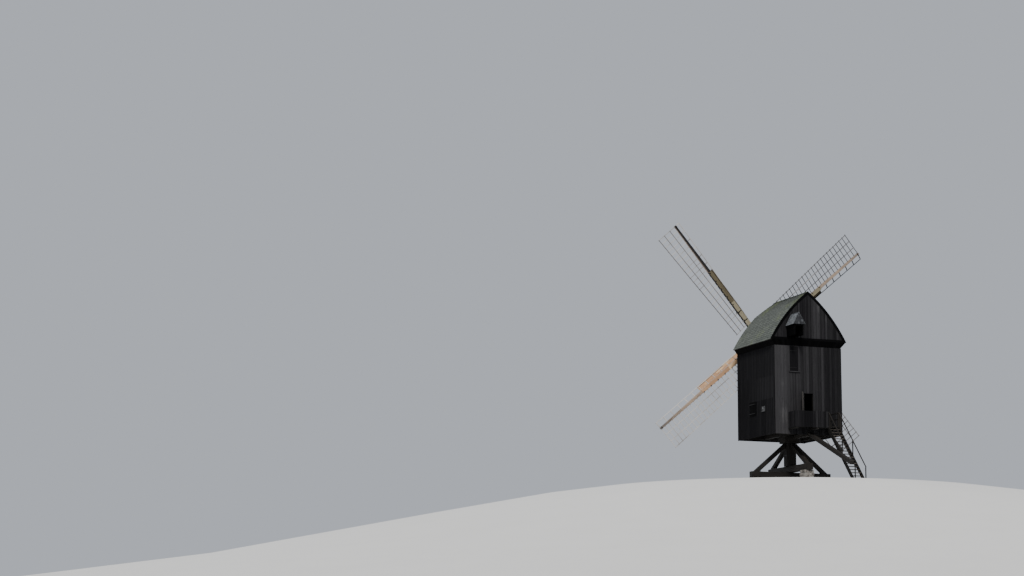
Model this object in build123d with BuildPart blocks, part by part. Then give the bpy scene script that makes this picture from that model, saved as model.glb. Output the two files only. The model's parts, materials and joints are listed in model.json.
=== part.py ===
from build123d import *
import os
from math import atan2, cos, hypot, radians, sin, sqrt, tan

# A post windmill: a boarded house that turns on a post, with a curved roof and four twisted lattice sails.
# Frame: +Z up from the ground, the post's axis is the Z axis, the sails face -Y, the door and stair face +Y.
# Left is +X, the mill's own left hand as it faces the wind. Millimetres.

# Driving dimensions: the house
joint_gap = 0.3
body_width = 5000
body_length = 5650
wall_thickness = 45
body_bottom = 3480
floor_level = 4050
upper_floor_level = 7550
floor_thickness = 60
timber_side = 200
sill_height = 370
plate_height = 200
eaves_level = 9800
ridge_level = 13140
eaves_overhang = 310
skirt_height = 330
skirt_thickness = 30
roof_bulge = 230
roof_thickness = 80
gable_jut = 180
verge_rise = 25
front_overhang = 60
trim_gap = 0.3
hip_rise = 940
hip_run = 980
hip_eave_reach = 90
gable_board = 40
cut_allowance = 320
band_height = 150
band_thickness = 30
verge_depth = 60
ridge_cap_width = 260
ridge_cap_thickness = 25

# Driving dimensions: the trestle
beam_reach = 2950
beam_width = 420
beam_height = 430
beam_chamfer = 18
footing_height = 140
footing_width = 900
pier_height = 720
pier_side = 760
footing_ledge = 60
pier_rounding = 40
pier_setback = 120
post_side = 700
post_chamfer = 110
post_square_top = 3460
post_round_radius = 310
post_cone_height = 145
pintle_radius = 150
pintle_height = 260
quarter_bar_side = 260
quarter_bar_foot = 2560
quarter_bar_head = 3020
saddle_width = 210
saddle_height = 480
saddle_fit = 0.3

# Driving dimensions: what carries the house
sheer_width = 300
post_clearance = 20
turning_clearance = 8
crown_beam_side = 640
crown_gap = 0.4
pintle_gap = 0.4
girt_height = 300

# Driving dimensions: openings, hatch and windows
door_left = 290
door_right = -370
door_height = 2200
frame_width = 110
leaf_overlap = 30
leaf_gap = 6
leaf_thickness = 40
leaf_lift = 25
ledge_height = 140
ledge_thickness = 25
ledge_inset = 60
ledge_rise = 300
brace_width = 120
hinge_reach = 16
hinge_pin_radius = 9
hinge_pin_gap = 0.4
hinge_eye_radius = 19
hinge_height = 90
hinge_rise = 370
hinge_plate_thickness = 6
door_open_angle = 123.5
hatch_centre = 1010
hatch_width = 610
hatch_bottom = 7700
hatch_top = 9390
hatch_thickness = 35
hatch_gap = 4
sill_reach = 90
sill_board_height = 60
sill_chamfer = 12
window_centre = 1100
window_width = 460
window_bottom = 5125
window_height = 330
window_frame = 55
shutter_centre = -480
shutter_width = 1050
shutter_bottom = 4900
shutter_height = 1000
shutter_thickness = 35

# Driving dimensions: hoist hood
hood_centre = 1285
hood_width = 700
hood_depth = 1160
hood_bottom = 9960
hood_eaves = 10700
hood_rise = 830
hood_hip_run = 60
hood_overhang = 90
hood_board = 30
hood_roof_drop = 72

# Driving dimensions: landing, stair and tail pole
deck_left = 1500
deck_right = -1680
deck_depth = 1150
deck_step = 70
deck_thickness = 50
deck_beam_width = 140
deck_beam_height = 170
parapet_height = 960
parapet_drop = 120
parapet_thickness = 30
post_section = 90
stair_width = 830
stair_angle = 48
string_thickness = 60
string_depth = 260
tread_count = 17
tread_depth = 230
tread_thickness = 45
tread_setback = 35
stair_lift = 45
rail_height = 900
rail_section = 70
rail_setback = 10
rail_post_gap = 0.4
pole_side = 250
pole_start = 900
pole_bend = 2960
pole_end = 8700
pole_end_level = 1150
crosspiece_side = 200

# Driving dimensions: wind shaft and sails
hub_reach = 1460
hub_level = 10900
shaft_tilt = 3
sail_angle = 49
sail_radius = 10110
shaft_radius = 270
neck_radius = 220
neck_length = 620
tail_radius = 90
tail_length = 420
tail_reach = 60
bearing_span = 4410
bearing_gap = 0.4
bearing_bite = 90
bearing_cheek = 130
beam_end_gap = 5
shaft_beam_height = 480
shaft_beam_width = 400
shaft_opening = 700
poll_side = 560
poll_length = 920
poll_nose = 120
poll_chamfer = 60
stock_root = 300
stock_tip = 150
stock_gap = 40
bar_spacing = 345
bar_count = 26
tip_margin = 45
bar_width = 45
bar_thickness = 28
bar_tail = 35
lath_width = 50
lath_thickness = 22
lath_bite = 6
trail_width_tip = 1700
trail_width_heel = 1500
inner_lath_shares = (0.35, 0.68)
heel_pitch = 20
tip_pitch = 3
lead_extra_pitch = 18
lead_width = 500
stub_count = 13
open_stub_count = 6
board_thickness = 24
board_gap = 0.5
board_bars_past = 0.35

# Derived places
half_width = body_width / 2
half_length = body_length / 2
inner_half_width = half_width - wall_thickness
inner_half_length = half_length - wall_thickness
sill_bottom = floor_level - floor_thickness - sill_height
sill_top = floor_level - floor_thickness
plate_top = eaves_level
plate_bottom = plate_top - plate_height
roof_rear = half_length + gable_jut
roof_front = -half_length - front_overhang
gable_face = half_length + gable_jut
eave_x = half_width + eaves_overhang
girt_top = upper_floor_level - floor_thickness
girt_bottom = girt_top - girt_height
crown_top = girt_bottom
crown_bottom = crown_top - crown_beam_side
post_top = crown_bottom - crown_gap
lower_beam_top = pier_height + beam_height
upper_beam_top = lower_beam_top + beam_height
saddle_top = sill_bottom - turning_clearance
door_head = floor_level + door_height
deck_top = floor_level - deck_step
deck_edge = half_length + deck_depth

# The roof's section is an arc from the eave to the ridge, bulging out of the straight rafter line
chord_length = hypot(eave_x, ridge_level - eaves_level)
roof_radius = (chord_length**2 / 4 + roof_bulge**2) / (2 * roof_bulge)
chord_x = -eave_x / chord_length
chord_z = (ridge_level - eaves_level) / chord_length
arc_x = eave_x / 2 - chord_z * (roof_radius - roof_bulge)
arc_z = (eaves_level + ridge_level) / 2 + chord_x * (roof_radius - roof_bulge)


def roof_level(x, depth=0):
    """Height of the roof at a distance from the ridge line, or of a surface some depth under it."""
    return arc_z + sqrt((roof_radius - depth) ** 2 - (abs(x) - arc_x) ** 2)


def roof_reach(z, depth=0):
    """Distance from the ridge line at which that surface is at a height."""
    return arc_x + sqrt((roof_radius - depth) ** 2 - (z - arc_z) ** 2)


def axis_level(y):
    """Height of the wind shaft's axis above the ground."""
    return hub_level - (y + half_length + hub_reach) * tan(radians(shaft_tilt))


def block(x0, x1, y0, y1, z0, z1):
    """A plain timber or slab between two corners."""
    with BuildPart() as timber:
        with BuildSketch(Plane.XY.offset(z0)):
            with Locations(((x0 + x1) / 2, (y0 + y1) / 2)):
                Rectangle(x1 - x0, y1 - y0)
        extrude(amount=z1 - z0)
    return timber.part


def raking_bar(foot, head, width, height):
    """A square bar along a line through two points, long enough to be cut to its seats."""
    run = Vector(*head) - Vector(*foot)
    side = Vector(0, 0, 1).cross(run)
    with BuildPart() as bar:
        with BuildSketch(Plane(origin=foot, x_dir=side, z_dir=run)):
            Rectangle(width, height)
        extrude(amount=run.length + 2 * height)
        extrude(bar.faces().sort_by(Axis(origin=foot, direction=run))[0], amount=2 * height)
    return bar.part


def save(piece, name):
    piece.part.label = name
    export_step(piece.part, f"parts/{name}.step")


os.makedirs("parts", exist_ok=True)

# Trestle: piers, crossed beams, post, quarter bars and saddle
footing_reach = beam_reach - pier_setback + footing_ledge
with BuildPart() as footings:
    half_footing = footing_width / 2
    add(block(-footing_reach, footing_reach, -half_footing, half_footing, 0, footing_height))
    for side in (-1, 1):
        near = side * (half_footing + joint_gap)
        far = side * footing_reach
        add(block(-half_footing, half_footing, min(near, far), max(near, far), 0, footing_height))
save(footings, "footings")

pier_centre = beam_reach - pier_setback - pier_side / 2
with BuildPart() as piers:
    for turn, height in ((0, pier_height), (90, pier_height + beam_height)):
        with BuildSketch(Plane.XY.offset(footing_height)) as pier_plan:
            with Locations(Location((0, 0, 0), (0, 0, turn))):
                with Locations((pier_centre, 0), (-pier_centre, 0)):
                    Rectangle(pier_side, pier_side)
            fillet(pier_plan.vertices(), radius=pier_rounding)
        extrude(amount=height - footing_height)
save(piers, "piers")

with BuildPart() as lower_cross_beam:
    add(block(-beam_reach, beam_reach, -beam_width / 2, beam_width / 2, pier_height, lower_beam_top))
    chamfer(lower_cross_beam.edges().filter_by(Axis.X), length=beam_chamfer)
save(lower_cross_beam, "lower_cross_beam")

with BuildPart() as upper_cross_beam:
    add(block(-beam_width / 2, beam_width / 2, -beam_reach, beam_reach, lower_beam_top, upper_beam_top))
    chamfer(upper_cross_beam.edges().filter_by(Axis.Y), length=beam_chamfer)
save(upper_cross_beam, "upper_cross_beam")

with BuildPart() as main_post:
    with BuildSketch(Plane.XY.offset(upper_beam_top)) as post_foot:
        Rectangle(post_side, post_side)
        chamfer(post_foot.vertices(), length=post_chamfer)
    extrude(amount=post_square_top - upper_beam_top)
    with BuildSketch(Plane.XY.offset(post_square_top)):
        Circle(post_side / 2)
    with BuildSketch(Plane.XY.offset(post_square_top + post_cone_height)):
        Circle(post_round_radius)
    loft()
    with BuildSketch(Plane.XY.offset(post_square_top + post_cone_height)):
        Circle(post_round_radius)
    extrude(amount=post_top - post_square_top - post_cone_height)
    with BuildSketch(Plane.XY.offset(post_top)):
        Circle(pintle_radius)
    extrude(amount=pintle_height)
save(main_post, "main_post")


def quarter_bar(beam_top):
    """One raking bar towards +X, cut level on the beam and plumb against the post."""
    foot = (quarter_bar_foot, 0, beam_top)
    head = (post_side / 2, 0, quarter_bar_head)
    with BuildPart() as bar:
        add(raking_bar(foot, head, quarter_bar_side, quarter_bar_side))
        split(bisect_by=Plane.XY.offset(beam_top), keep=Keep.TOP)
        split(bisect_by=Plane.YZ.offset(post_side / 2), keep=Keep.TOP)
        split(bisect_by=Plane.XY.offset(saddle_top - saddle_height), keep=Keep.BOTTOM)
    return bar.part


low_bar = quarter_bar(lower_beam_top)
high_bar = quarter_bar(upper_beam_top)
with BuildPart() as quarter_bars:
    with Locations(Location((0, 0, 0), (0, 0, 0)), Location((0, 0, 0), (0, 0, 180))):
        add(low_bar)
    with Locations(Location((0, 0, 0), (0, 0, 90)), Location((0, 0, 0), (0, 0, 270))):
        add(high_bar)
save(quarter_bars, "quarter_bars")

with BuildPart() as saddle:
    with BuildSketch(Plane.XY.offset(saddle_top - saddle_height)) as saddle_plan:
        Rectangle(post_side + 2 * saddle_width, post_side + 2 * saddle_width)
        chamfer(saddle_plan.vertices(), length=saddle_width / 2)
    extrude(amount=saddle_height)
    with BuildSketch(Plane.XY.offset(saddle_top - saddle_height)) as saddle_hole:
        Rectangle(post_side + 2 * saddle_fit, post_side + 2 * saddle_fit)
        chamfer(saddle_hole.vertices(), length=post_chamfer)
    extrude(amount=saddle_height, mode=Mode.SUBTRACT)
save(saddle, "saddle")

# House frame: sills, sheers, posts, plates, crown beam and floors
with BuildPart() as sills:
    post_inner_x = inner_half_width - timber_side
    post_inner_y = inner_half_length - timber_side
    for side in (-1, 1):
        outer = side * inner_half_width
        inner = side * post_inner_x
        add(block(min(outer, inner), max(outer, inner), -post_inner_y, post_inner_y, sill_bottom, sill_top))
        outer = side * inner_half_length
        inner = side * post_inner_y
        add(block(-post_inner_x, post_inner_x, min(outer, inner), max(outer, inner), sill_bottom, sill_top))
save(sills, "sills")

sheer_inner = post_round_radius + post_clearance
with BuildPart() as sheers:
    for side in (-1, 1):
        near = side * sheer_inner
        far = side * (sheer_inner + sheer_width)
        add(block(min(near, far), max(near, far), -post_inner_y, post_inner_y, sill_bottom, sill_top))
    add(
        block(
            joint_gap - sheer_inner,
            sheer_inner - joint_gap,
            pole_start,
            pole_start + crosspiece_side,
            sill_bottom,
            sill_bottom + crosspiece_side,
        )
    )
save(sheers, "sheers")

with BuildPart() as corner_posts:
    with BuildSketch(Plane.XY.offset(sill_bottom)):
        with GridLocations(2 * inner_half_width - timber_side, 2 * inner_half_length - timber_side, 2, 2):
            Rectangle(timber_side, timber_side)
    extrude(amount=plate_bottom - sill_bottom)
save(corner_posts, "corner_posts")

with BuildPart() as wall_plates:
    with BuildSketch(Plane.XY.offset(plate_bottom)):
        with GridLocations(2 * inner_half_width - timber_side, 0, 2, 1):
            Rectangle(timber_side, 2 * inner_half_length)
    extrude(amount=plate_height)
    with BuildSketch(Plane.XY.offset(plate_bottom)):
        with GridLocations(0, 2 * inner_half_length - timber_side, 1, 2):
            Rectangle(2 * (post_inner_x - joint_gap), timber_side)
    extrude(amount=plate_height)
save(wall_plates, "wall_plates")

with BuildPart() as crown_beam:
    half_side = crown_beam_side / 2
    add(block(-inner_half_width, inner_half_width, -half_side, half_side, crown_bottom, crown_top))
    with BuildSketch(Plane.XY.offset(crown_bottom)):
        Circle(pintle_radius + pintle_gap)
    extrude(amount=pintle_height, mode=Mode.SUBTRACT)
save(crown_beam, "crown_beam")

with BuildPart() as floor_girts:
    with BuildSketch(Plane.XY.offset(girt_bottom)):
        with GridLocations(2 * inner_half_width - timber_side, 0, 2, 1):
            Rectangle(timber_side, 2 * post_inner_y)
        with GridLocations(0, 2 * inner_half_length - timber_side, 1, 2):
            Rectangle(2 * post_inner_x, timber_side)
    extrude(amount=girt_height)
save(floor_girts, "floor_girts")


def floor_slab(level):
    """Floor boards between the walls, notched round the corner posts, with their top at a level."""
    with BuildPart() as slab:
        with BuildSketch(Plane.XY.offset(level - floor_thickness)):
            Rectangle(2 * inner_half_width, 2 * inner_half_length)
            with GridLocations(2 * inner_half_width - timber_side, 2 * inner_half_length - timber_side, 2, 2):
                Rectangle(timber_side, timber_side, mode=Mode.SUBTRACT)
        extrude(amount=floor_thickness)
    return slab.part


with BuildPart() as lower_floor:
    add(floor_slab(floor_level))
    with BuildSketch(Plane.XY.offset(floor_level - floor_thickness)):
        Circle(post_round_radius + post_clearance)
    extrude(amount=floor_thickness, mode=Mode.SUBTRACT)
save(lower_floor, "lower_floor")

with BuildPart() as upper_floor:
    add(floor_slab(upper_floor_level))
save(upper_floor, "upper_floor")

# Walls: boarded skins, split beside and over the doorway
wall_top = roof_level(half_width, roof_thickness)


def side_wall(side):
    """One long wall with its window and shutter openings."""
    outer = side * half_width
    inner = side * inner_half_width
    with BuildPart() as wall:
        add(block(min(outer, inner), max(outer, inner), -half_length, half_length, body_bottom, wall_top))
        with BuildSketch(Plane.YZ.offset(min(outer, inner))):
            with Locations((window_centre, window_bottom + window_height / 2)):
                Rectangle(window_width, window_height)
            with Locations((shutter_centre, shutter_bottom + shutter_height / 2)):
                Rectangle(shutter_width, shutter_height)
        extrude(amount=wall_thickness, mode=Mode.SUBTRACT)
    return wall.part


with BuildPart() as left_wall:
    add(side_wall(1))
save(left_wall, "left_wall")

with BuildPart() as right_wall:
    add(side_wall(-1))
save(right_wall, "right_wall")

with BuildPart() as front_wall:
    wall_reach = inner_half_width
    add(block(-wall_reach, wall_reach, -half_length, -inner_half_length, body_bottom, eaves_level))
save(front_wall, "front_wall")

with BuildPart() as rear_wall_left:
    add(block(door_left, inner_half_width, inner_half_length, half_length, body_bottom, eaves_level))
    with BuildSketch(Plane.XZ.offset(-half_length)):
        with Locations((hatch_centre, (hatch_bottom + hatch_top) / 2)):
            Rectangle(hatch_width, hatch_top - hatch_bottom)
    extrude(amount=wall_thickness, mode=Mode.SUBTRACT)
save(rear_wall_left, "rear_wall_left")

with BuildPart() as rear_wall_right:
    add(block(-inner_half_width, door_right, inner_half_length, half_length, body_bottom, eaves_level))
save(rear_wall_right, "rear_wall_right")

with BuildPart() as rear_wall_middle:
    add(block(door_right, door_left, inner_half_length, half_length, door_head, eaves_level))
    add(block(door_right, door_left, inner_half_length, half_length, body_bottom, floor_level))
    pole_notch = pole_side / 2 + joint_gap
    add(
        block(-pole_notch, pole_notch, inner_half_length, half_length, body_bottom, sill_bottom),
        mode=Mode.SUBTRACT,
    )
save(rear_wall_middle, "rear_wall_middle")

# Door: frame with hinge pins, and the leaf with ledges, brace and hinge eyes
hinge_x = door_left + leaf_overlap + hinge_reach + hinge_eye_radius
hinge_y = half_length + leaf_gap + leaf_thickness / 2
leaf_bottom = floor_level + leaf_lift
leaf_top = door_head + leaf_overlap
hinge_levels = (leaf_bottom + hinge_rise, leaf_top - hinge_rise)

with BuildPart() as door_frame:
    frame_front = inner_half_length - timber_side
    for jamb in (door_left, door_right - frame_width):
        add(block(jamb, jamb + frame_width, frame_front, inner_half_length, floor_level, door_head))
    add(
        block(
            door_right - frame_width,
            door_left + frame_width,
            frame_front,
            inner_half_length,
            door_head + joint_gap,
            door_head + frame_width,
        )
    )
save(door_frame, "door_frame")

with BuildPart() as hinge_hooks:
    for level in hinge_levels:
        with BuildSketch(Plane.XY.offset(level - hinge_height / 2 - hinge_plate_thickness - hinge_pin_gap)):
            with Locations((hinge_x, hinge_y)):
                Circle(hinge_eye_radius)
            with Locations((hinge_x, half_length)):
                Rectangle(2 * hinge_eye_radius, hinge_y - half_length, align=(Align.CENTER, Align.MIN))
        extrude(amount=hinge_plate_thickness)
        with BuildSketch(Plane.XY.offset(level - hinge_height / 2 - hinge_pin_gap)):
            with Locations((hinge_x, hinge_y)):
                Circle(hinge_pin_radius)
        extrude(amount=hinge_height)
save(hinge_hooks, "hinge_hooks")


def closed_leaf():
    """The door leaf as it closes on the outside of the wall."""
    leaf_left = door_left + leaf_overlap
    leaf_right = door_right - leaf_overlap
    inner_face = half_length + leaf_gap
    with BuildPart() as leaf:
        add(block(leaf_right, leaf_left, inner_face, inner_face + leaf_thickness, leaf_bottom, leaf_top))
        ledge_left = door_left - ledge_inset
        ledge_right = door_right + ledge_inset
        low_ledge = leaf_bottom + ledge_rise
        high_ledge = leaf_top - ledge_rise - ledge_height
        for level in (low_ledge, high_ledge):
            ledge_top = level + ledge_height
            add(block(ledge_right, ledge_left, inner_face - ledge_thickness, inner_face, level, ledge_top))
        with BuildSketch(Plane.XZ.offset(-inner_face)):
            with BuildLine():
                Polyline(
                    (ledge_left, low_ledge + ledge_height),
                    (ledge_left - brace_width, low_ledge + ledge_height),
                    (ledge_right, high_ledge),
                    (ledge_right + brace_width, high_ledge),
                    close=True,
                )
            make_face()
        extrude(amount=ledge_thickness)
        for level in hinge_levels:
            with BuildSketch(Plane.XY.offset(level - hinge_height / 2)):
                with Locations((hinge_x, hinge_y)):
                    Circle(hinge_eye_radius)
                with Locations(((hinge_x + leaf_left) / 2, hinge_y)):
                    Rectangle(hinge_x - leaf_left, hinge_plate_thickness * 2)
            extrude(amount=hinge_height)
            with BuildSketch(Plane.XY.offset(level - hinge_height / 2)):
                with Locations((hinge_x, hinge_y)):
                    Circle(hinge_pin_radius + hinge_pin_gap)
            extrude(amount=hinge_height, mode=Mode.SUBTRACT)
    return leaf.part


with BuildPart() as door_leaf:
    add(closed_leaf().rotate(Axis((hinge_x, hinge_y, 0), (0, 0, 1)), -door_open_angle))
save(door_leaf, "door_leaf")

# Hatch, its sill, windows and shutters
with BuildPart() as sack_hatch:
    add(
        block(
            hatch_centre - hatch_width / 2 + hatch_gap,
            hatch_centre + hatch_width / 2 - hatch_gap,
            half_length - hatch_thickness,
            half_length,
            hatch_bottom,
            hatch_top - hatch_gap,
        )
    )
    half_sill = hatch_width / 2 + sill_reach
    add(
        block(
            hatch_centre - half_sill,
            hatch_centre + half_sill,
            half_length,
            half_length + sill_reach,
            hatch_bottom - sill_board_height,
            hatch_bottom - joint_gap,
        )
    )
    chamfer(sack_hatch.edges().filter_by(Axis.X).sort_by(Axis.Y)[-2:], length=sill_chamfer)
save(sack_hatch, "sack_hatch")

with BuildPart() as side_windows:
    for side in (-1, 1):
        start = inner_half_width if side > 0 else -half_width
        with BuildSketch(Plane.YZ.offset(start)):
            with Locations((window_centre, window_bottom + window_height / 2)):
                Rectangle(window_width, window_height)
                with GridLocations((window_width - window_frame) / 2, 0, 2, 1):
                    Rectangle(
                        (window_width - 3 * window_frame) / 2,
                        window_height - 2 * window_frame,
                        mode=Mode.SUBTRACT,
                    )
        extrude(amount=wall_thickness)
        with BuildSketch(Plane.YZ.offset(start + wall_thickness / 3)):
            with Locations((window_centre, window_bottom + window_height / 2)):
                Rectangle(window_width - window_frame, window_height - window_frame)
        extrude(amount=wall_thickness / 6)
save(side_windows, "side_windows")

with BuildPart() as side_shutters:
    for side in (-1, 1):
        start = half_width - shutter_thickness if side > 0 else -half_width
        with BuildSketch(Plane.YZ.offset(start)):
            with Locations((shutter_centre, shutter_bottom + (shutter_height - hatch_gap) / 2)):
                Rectangle(shutter_width - 2 * hatch_gap, shutter_height - hatch_gap)
        extrude(amount=shutter_thickness)
save(side_shutters, "side_shutters")

# Roof: two curved slopes, a small half-hip over the sails, gables, trims and the skirt under the eaves
hip_top = roof_front + hip_run
hip_plane = Plane(origin=(0, hip_top, ridge_level), x_dir=(1, 0, 0), z_dir=(0, -hip_rise, hip_run))
hip_seat = hip_plane.offset(-roof_thickness)


def arc_side(depth, x_from, x_to):
    """The roof's arc at some depth, between two distances from the ridge line."""
    middle = (x_from + x_to) / 2
    return (
        (x_from, roof_level(x_from, depth)),
        (middle, roof_level(middle, depth)),
        (x_to, roof_level(x_to, depth)),
    )


eave_angle = atan2(eaves_level - arc_z, eave_x - arc_x)
inner_eave_x = arc_x + (roof_radius - roof_thickness) * cos(eave_angle)

with BuildPart() as roof_left:
    with BuildSketch(Plane.XZ.offset(-roof_rear)):
        with BuildLine():
            outer = ThreePointArc(*arc_side(0, 0, eave_x))
            inner = ThreePointArc(*arc_side(roof_thickness, 0, inner_eave_x))
            Line(outer @ 1, inner @ 1)
            Line(outer @ 0, inner @ 0)
        make_face()
    extrude(amount=roof_rear - roof_front)
    split(bisect_by=hip_seat, keep=Keep.BOTTOM)
save(roof_left, "roof_left")

with BuildPart() as roof_right:
    mirror(roof_left.part, about=Plane.YZ)
save(roof_right, "roof_right")


def roof_prism(depth, y_from, y_to, z_from):
    """Everything under the roof's arc at some depth, above a level, between two planes."""
    reach = roof_reach(z_from, depth)
    with BuildPart() as prism:
        with BuildSketch(Plane.XZ.offset(-y_to)):
            with BuildLine():
                right = ThreePointArc(*arc_side(depth, 0, reach))
                add(mirror(right, about=Plane.YZ, mode=Mode.PRIVATE))
                Line((-reach, z_from), (reach, z_from))
            make_face()
        extrude(amount=y_to - y_from)
    return prism.part


hip_eave_level = ridge_level - hip_rise * (hip_run + hip_eave_reach) / hip_run
with BuildPart() as roof_hip:
    hip_front = roof_front - hip_eave_reach
    add(roof_prism(0, hip_front, hip_top + cut_allowance, hip_eave_level - cut_allowance))
    split(bisect_by=hip_plane, keep=Keep.BOTTOM)
    split(bisect_by=hip_seat, keep=Keep.TOP)
save(roof_hip, "roof_hip")

with BuildPart() as rear_gable:
    add(roof_prism(roof_thickness, gable_face - gable_board, gable_face, eaves_level))
    with BuildSketch(Plane.XZ.offset(-gable_face)):
        with Locations((hood_centre, (hood_bottom + hood_eaves) / 2)):
            Rectangle(hood_width - 2 * hood_board, hood_eaves - hood_bottom)
    extrude(amount=gable_board, mode=Mode.SUBTRACT)
save(rear_gable, "rear_gable")

with BuildPart() as front_gable:
    add(roof_prism(roof_thickness, -half_length, -half_length + gable_board, eaves_level))
    split(bisect_by=hip_seat, keep=Keep.BOTTOM)
    split(bisect_by=Plane.YZ.offset(inner_half_width), keep=Keep.BOTTOM)
    split(bisect_by=Plane.YZ.offset(-inner_half_width), keep=Keep.TOP)
    with BuildSketch(Plane.XZ.offset(half_length)):
        with Locations((0, axis_level(-half_length))):
            Rectangle(shaft_opening, shaft_opening)
    extrude(amount=-gable_board, mode=Mode.SUBTRACT)
save(front_gable, "front_gable")

band_top = eaves_level + band_height
with BuildPart() as gable_trim:
    with BuildSketch(Plane.XZ.offset(-gable_face - band_thickness)):
        with BuildLine():
            band_foot = roof_reach(eaves_level, -verge_rise)
            band_head = roof_reach(band_top - trim_gap, -verge_rise)
            Line((0, eaves_level), (band_foot, eaves_level))
            edge = ThreePointArc(*arc_side(-verge_rise, band_foot, band_head))
            Line(edge @ 1, (0, band_top - trim_gap))
            Line((0, band_top - trim_gap), (0, eaves_level))
        make_face()
        with BuildLine():
            verge_low = roof_thickness + verge_depth
            high = ThreePointArc(*arc_side(-verge_rise, trim_gap, roof_reach(band_top, -verge_rise)))
            low = ThreePointArc(*arc_side(verge_low, trim_gap, roof_reach(band_top, verge_low)))
            Line(high @ 1, low @ 1)
            Line(high @ 0, low @ 0)
        make_face()
        mirror(about=Plane.YZ)
    extrude(amount=band_thickness)
save(gable_trim, "gable_trim")

with BuildPart() as ridge_cap:
    half_cap = ridge_cap_width / 2
    with BuildSketch(Plane.XZ.offset(-roof_rear)):
        with BuildLine():
            under = ThreePointArc(*arc_side(0, 0, half_cap))
            over = ThreePointArc(*arc_side(-ridge_cap_thickness, 0, half_cap))
            Line(under @ 1, over @ 1)
            Line(under @ 0, over @ 0)
        make_face()
        mirror(about=Plane.YZ)
    extrude(amount=roof_rear - hip_top)
save(ridge_cap, "ridge_cap")

# The skirt: slanted boards from the roof's lower edge in to the walls, mitred at the rear corners
inner_eave_z = arc_z + (roof_radius - roof_thickness) * sin(eave_angle)
skirt_bottom = inner_eave_z - skirt_height
skirt_slope = (inner_eave_x - half_width) / skirt_height
skirt_top_x = inner_eave_x + skirt_slope * (eaves_level - inner_eave_z)
skirt_rear = gable_face + band_thickness


def skirt_frustum(inset):
    """The skirt's outer surface as a solid, or its inner surface at an inset, widest at the eaves."""
    with BuildPart() as frustum:
        for level, reach, rear in (
            (skirt_bottom, half_width - inset, half_length - inset),
            (eaves_level, skirt_top_x - inset, skirt_rear - inset),
        ):
            with BuildSketch(Plane.XY.offset(level)):
                with Locations((0, (rear - half_length) / 2)):
                    Rectangle(2 * reach, rear + half_length)
        loft()
    return frustum.part


with BuildPart() as skirt_ring:
    add(skirt_frustum(0))
    add(skirt_frustum(skirt_thickness), mode=Mode.SUBTRACT)
    add(
        block(-half_width, half_width, -half_length, half_length, skirt_bottom, eaves_level),
        mode=Mode.SUBTRACT,
    )
    split(bisect_by=Plane.XZ.offset(half_length - skirt_thickness - trim_gap), keep=Keep.BOTTOM)
    add(
        roof_prism(roof_thickness, -half_length, skirt_rear, skirt_bottom),
        mode=Mode.INTERSECT,
    )

mitre_run = (skirt_top_x - half_width, skirt_rear - half_length)
with BuildPart() as eaves_skirt:
    mitre = Plane(
        origin=(half_width, half_length, 0),
        x_dir=(mitre_run[0], mitre_run[1], 0),
        z_dir=(mitre_run[1], -mitre_run[0], 0),
    )
    other_mitre = Plane(
        origin=(-half_width, half_length, 0),
        x_dir=(-mitre_run[0], mitre_run[1], 0),
        z_dir=(-mitre_run[1], -mitre_run[0], 0),
    )
    left_cut = mitre.offset(trim_gap)
    right_cut = other_mitre.offset(trim_gap)
    left_skirt = split(skirt_ring.part, bisect_by=left_cut, keep=Keep.TOP, mode=Mode.PRIVATE)
    right_skirt = split(skirt_ring.part, bisect_by=right_cut, keep=Keep.TOP, mode=Mode.PRIVATE)
    rear_skirt = split(skirt_ring.part, bisect_by=mitre, keep=Keep.BOTTOM, mode=Mode.PRIVATE)
    add(left_skirt)
    add(right_skirt)
    add(split(rear_skirt, bisect_by=other_mitre, keep=Keep.BOTTOM, mode=Mode.PRIVATE))
    with BuildSketch(Plane.XZ.offset(half_length)):
        with BuildLine():
            edge = ThreePointArc(*arc_side(roof_thickness, half_width, inner_eave_x))
            Polyline(edge @ 0, (half_width, skirt_bottom), edge @ 1)
        make_face()
        mirror(about=Plane.YZ)
    extrude(amount=-skirt_thickness)
save(eaves_skirt, "eaves_skirt")

# Hoist hood on the rear gable: two cheeks and a hipped roof
hood_face = gable_face + hood_depth
with BuildPart() as hood_cheeks:
    for side in (-1, 1):
        outer = hood_centre + side * hood_width / 2
        inner = outer - side * hood_board
        add(block(min(outer, inner), max(outer, inner), gable_face, hood_face, hood_bottom, hood_eaves))
save(hood_cheeks, "hood_cheeks")


def hood_shape(drop):
    """The hood roof's outside, or the same form lowered by the roof's thickness."""
    half = hood_width / 2 + hood_overhang
    reach = hood_depth + hood_overhang
    low = hood_eaves - drop
    high = hood_eaves + hood_rise - drop
    with BuildPart() as shape:
        with BuildSketch(Plane.XZ.offset(-gable_face - reach)):
            with BuildLine():
                base = [(hood_centre - half, low), (hood_centre + half, low)]
                Polyline(*base, (hood_centre, high), close=True)
            make_face()
        extrude(amount=reach)
        hip = Plane(
            origin=(hood_centre, gable_face + reach, low),
            x_dir=(1, 0, 0),
            z_dir=(0, hood_rise, hood_hip_run),
        )
        split(bisect_by=hip, keep=Keep.BOTTOM)
    return shape.part


with BuildPart() as hood_roof:
    add(hood_shape(0))
    add(hood_shape(hood_roof_drop), mode=Mode.SUBTRACT)
    split(bisect_by=Plane.XY.offset(hood_eaves), keep=Keep.TOP)
save(hood_roof, "hood_roof")

# Beams and bearings under the wind shaft
neck_y = -inner_half_length + shaft_beam_width / 2
tail_y = neck_y + bearing_span


def bearing_top(y):
    return axis_level(y) - bearing_bite


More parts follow.
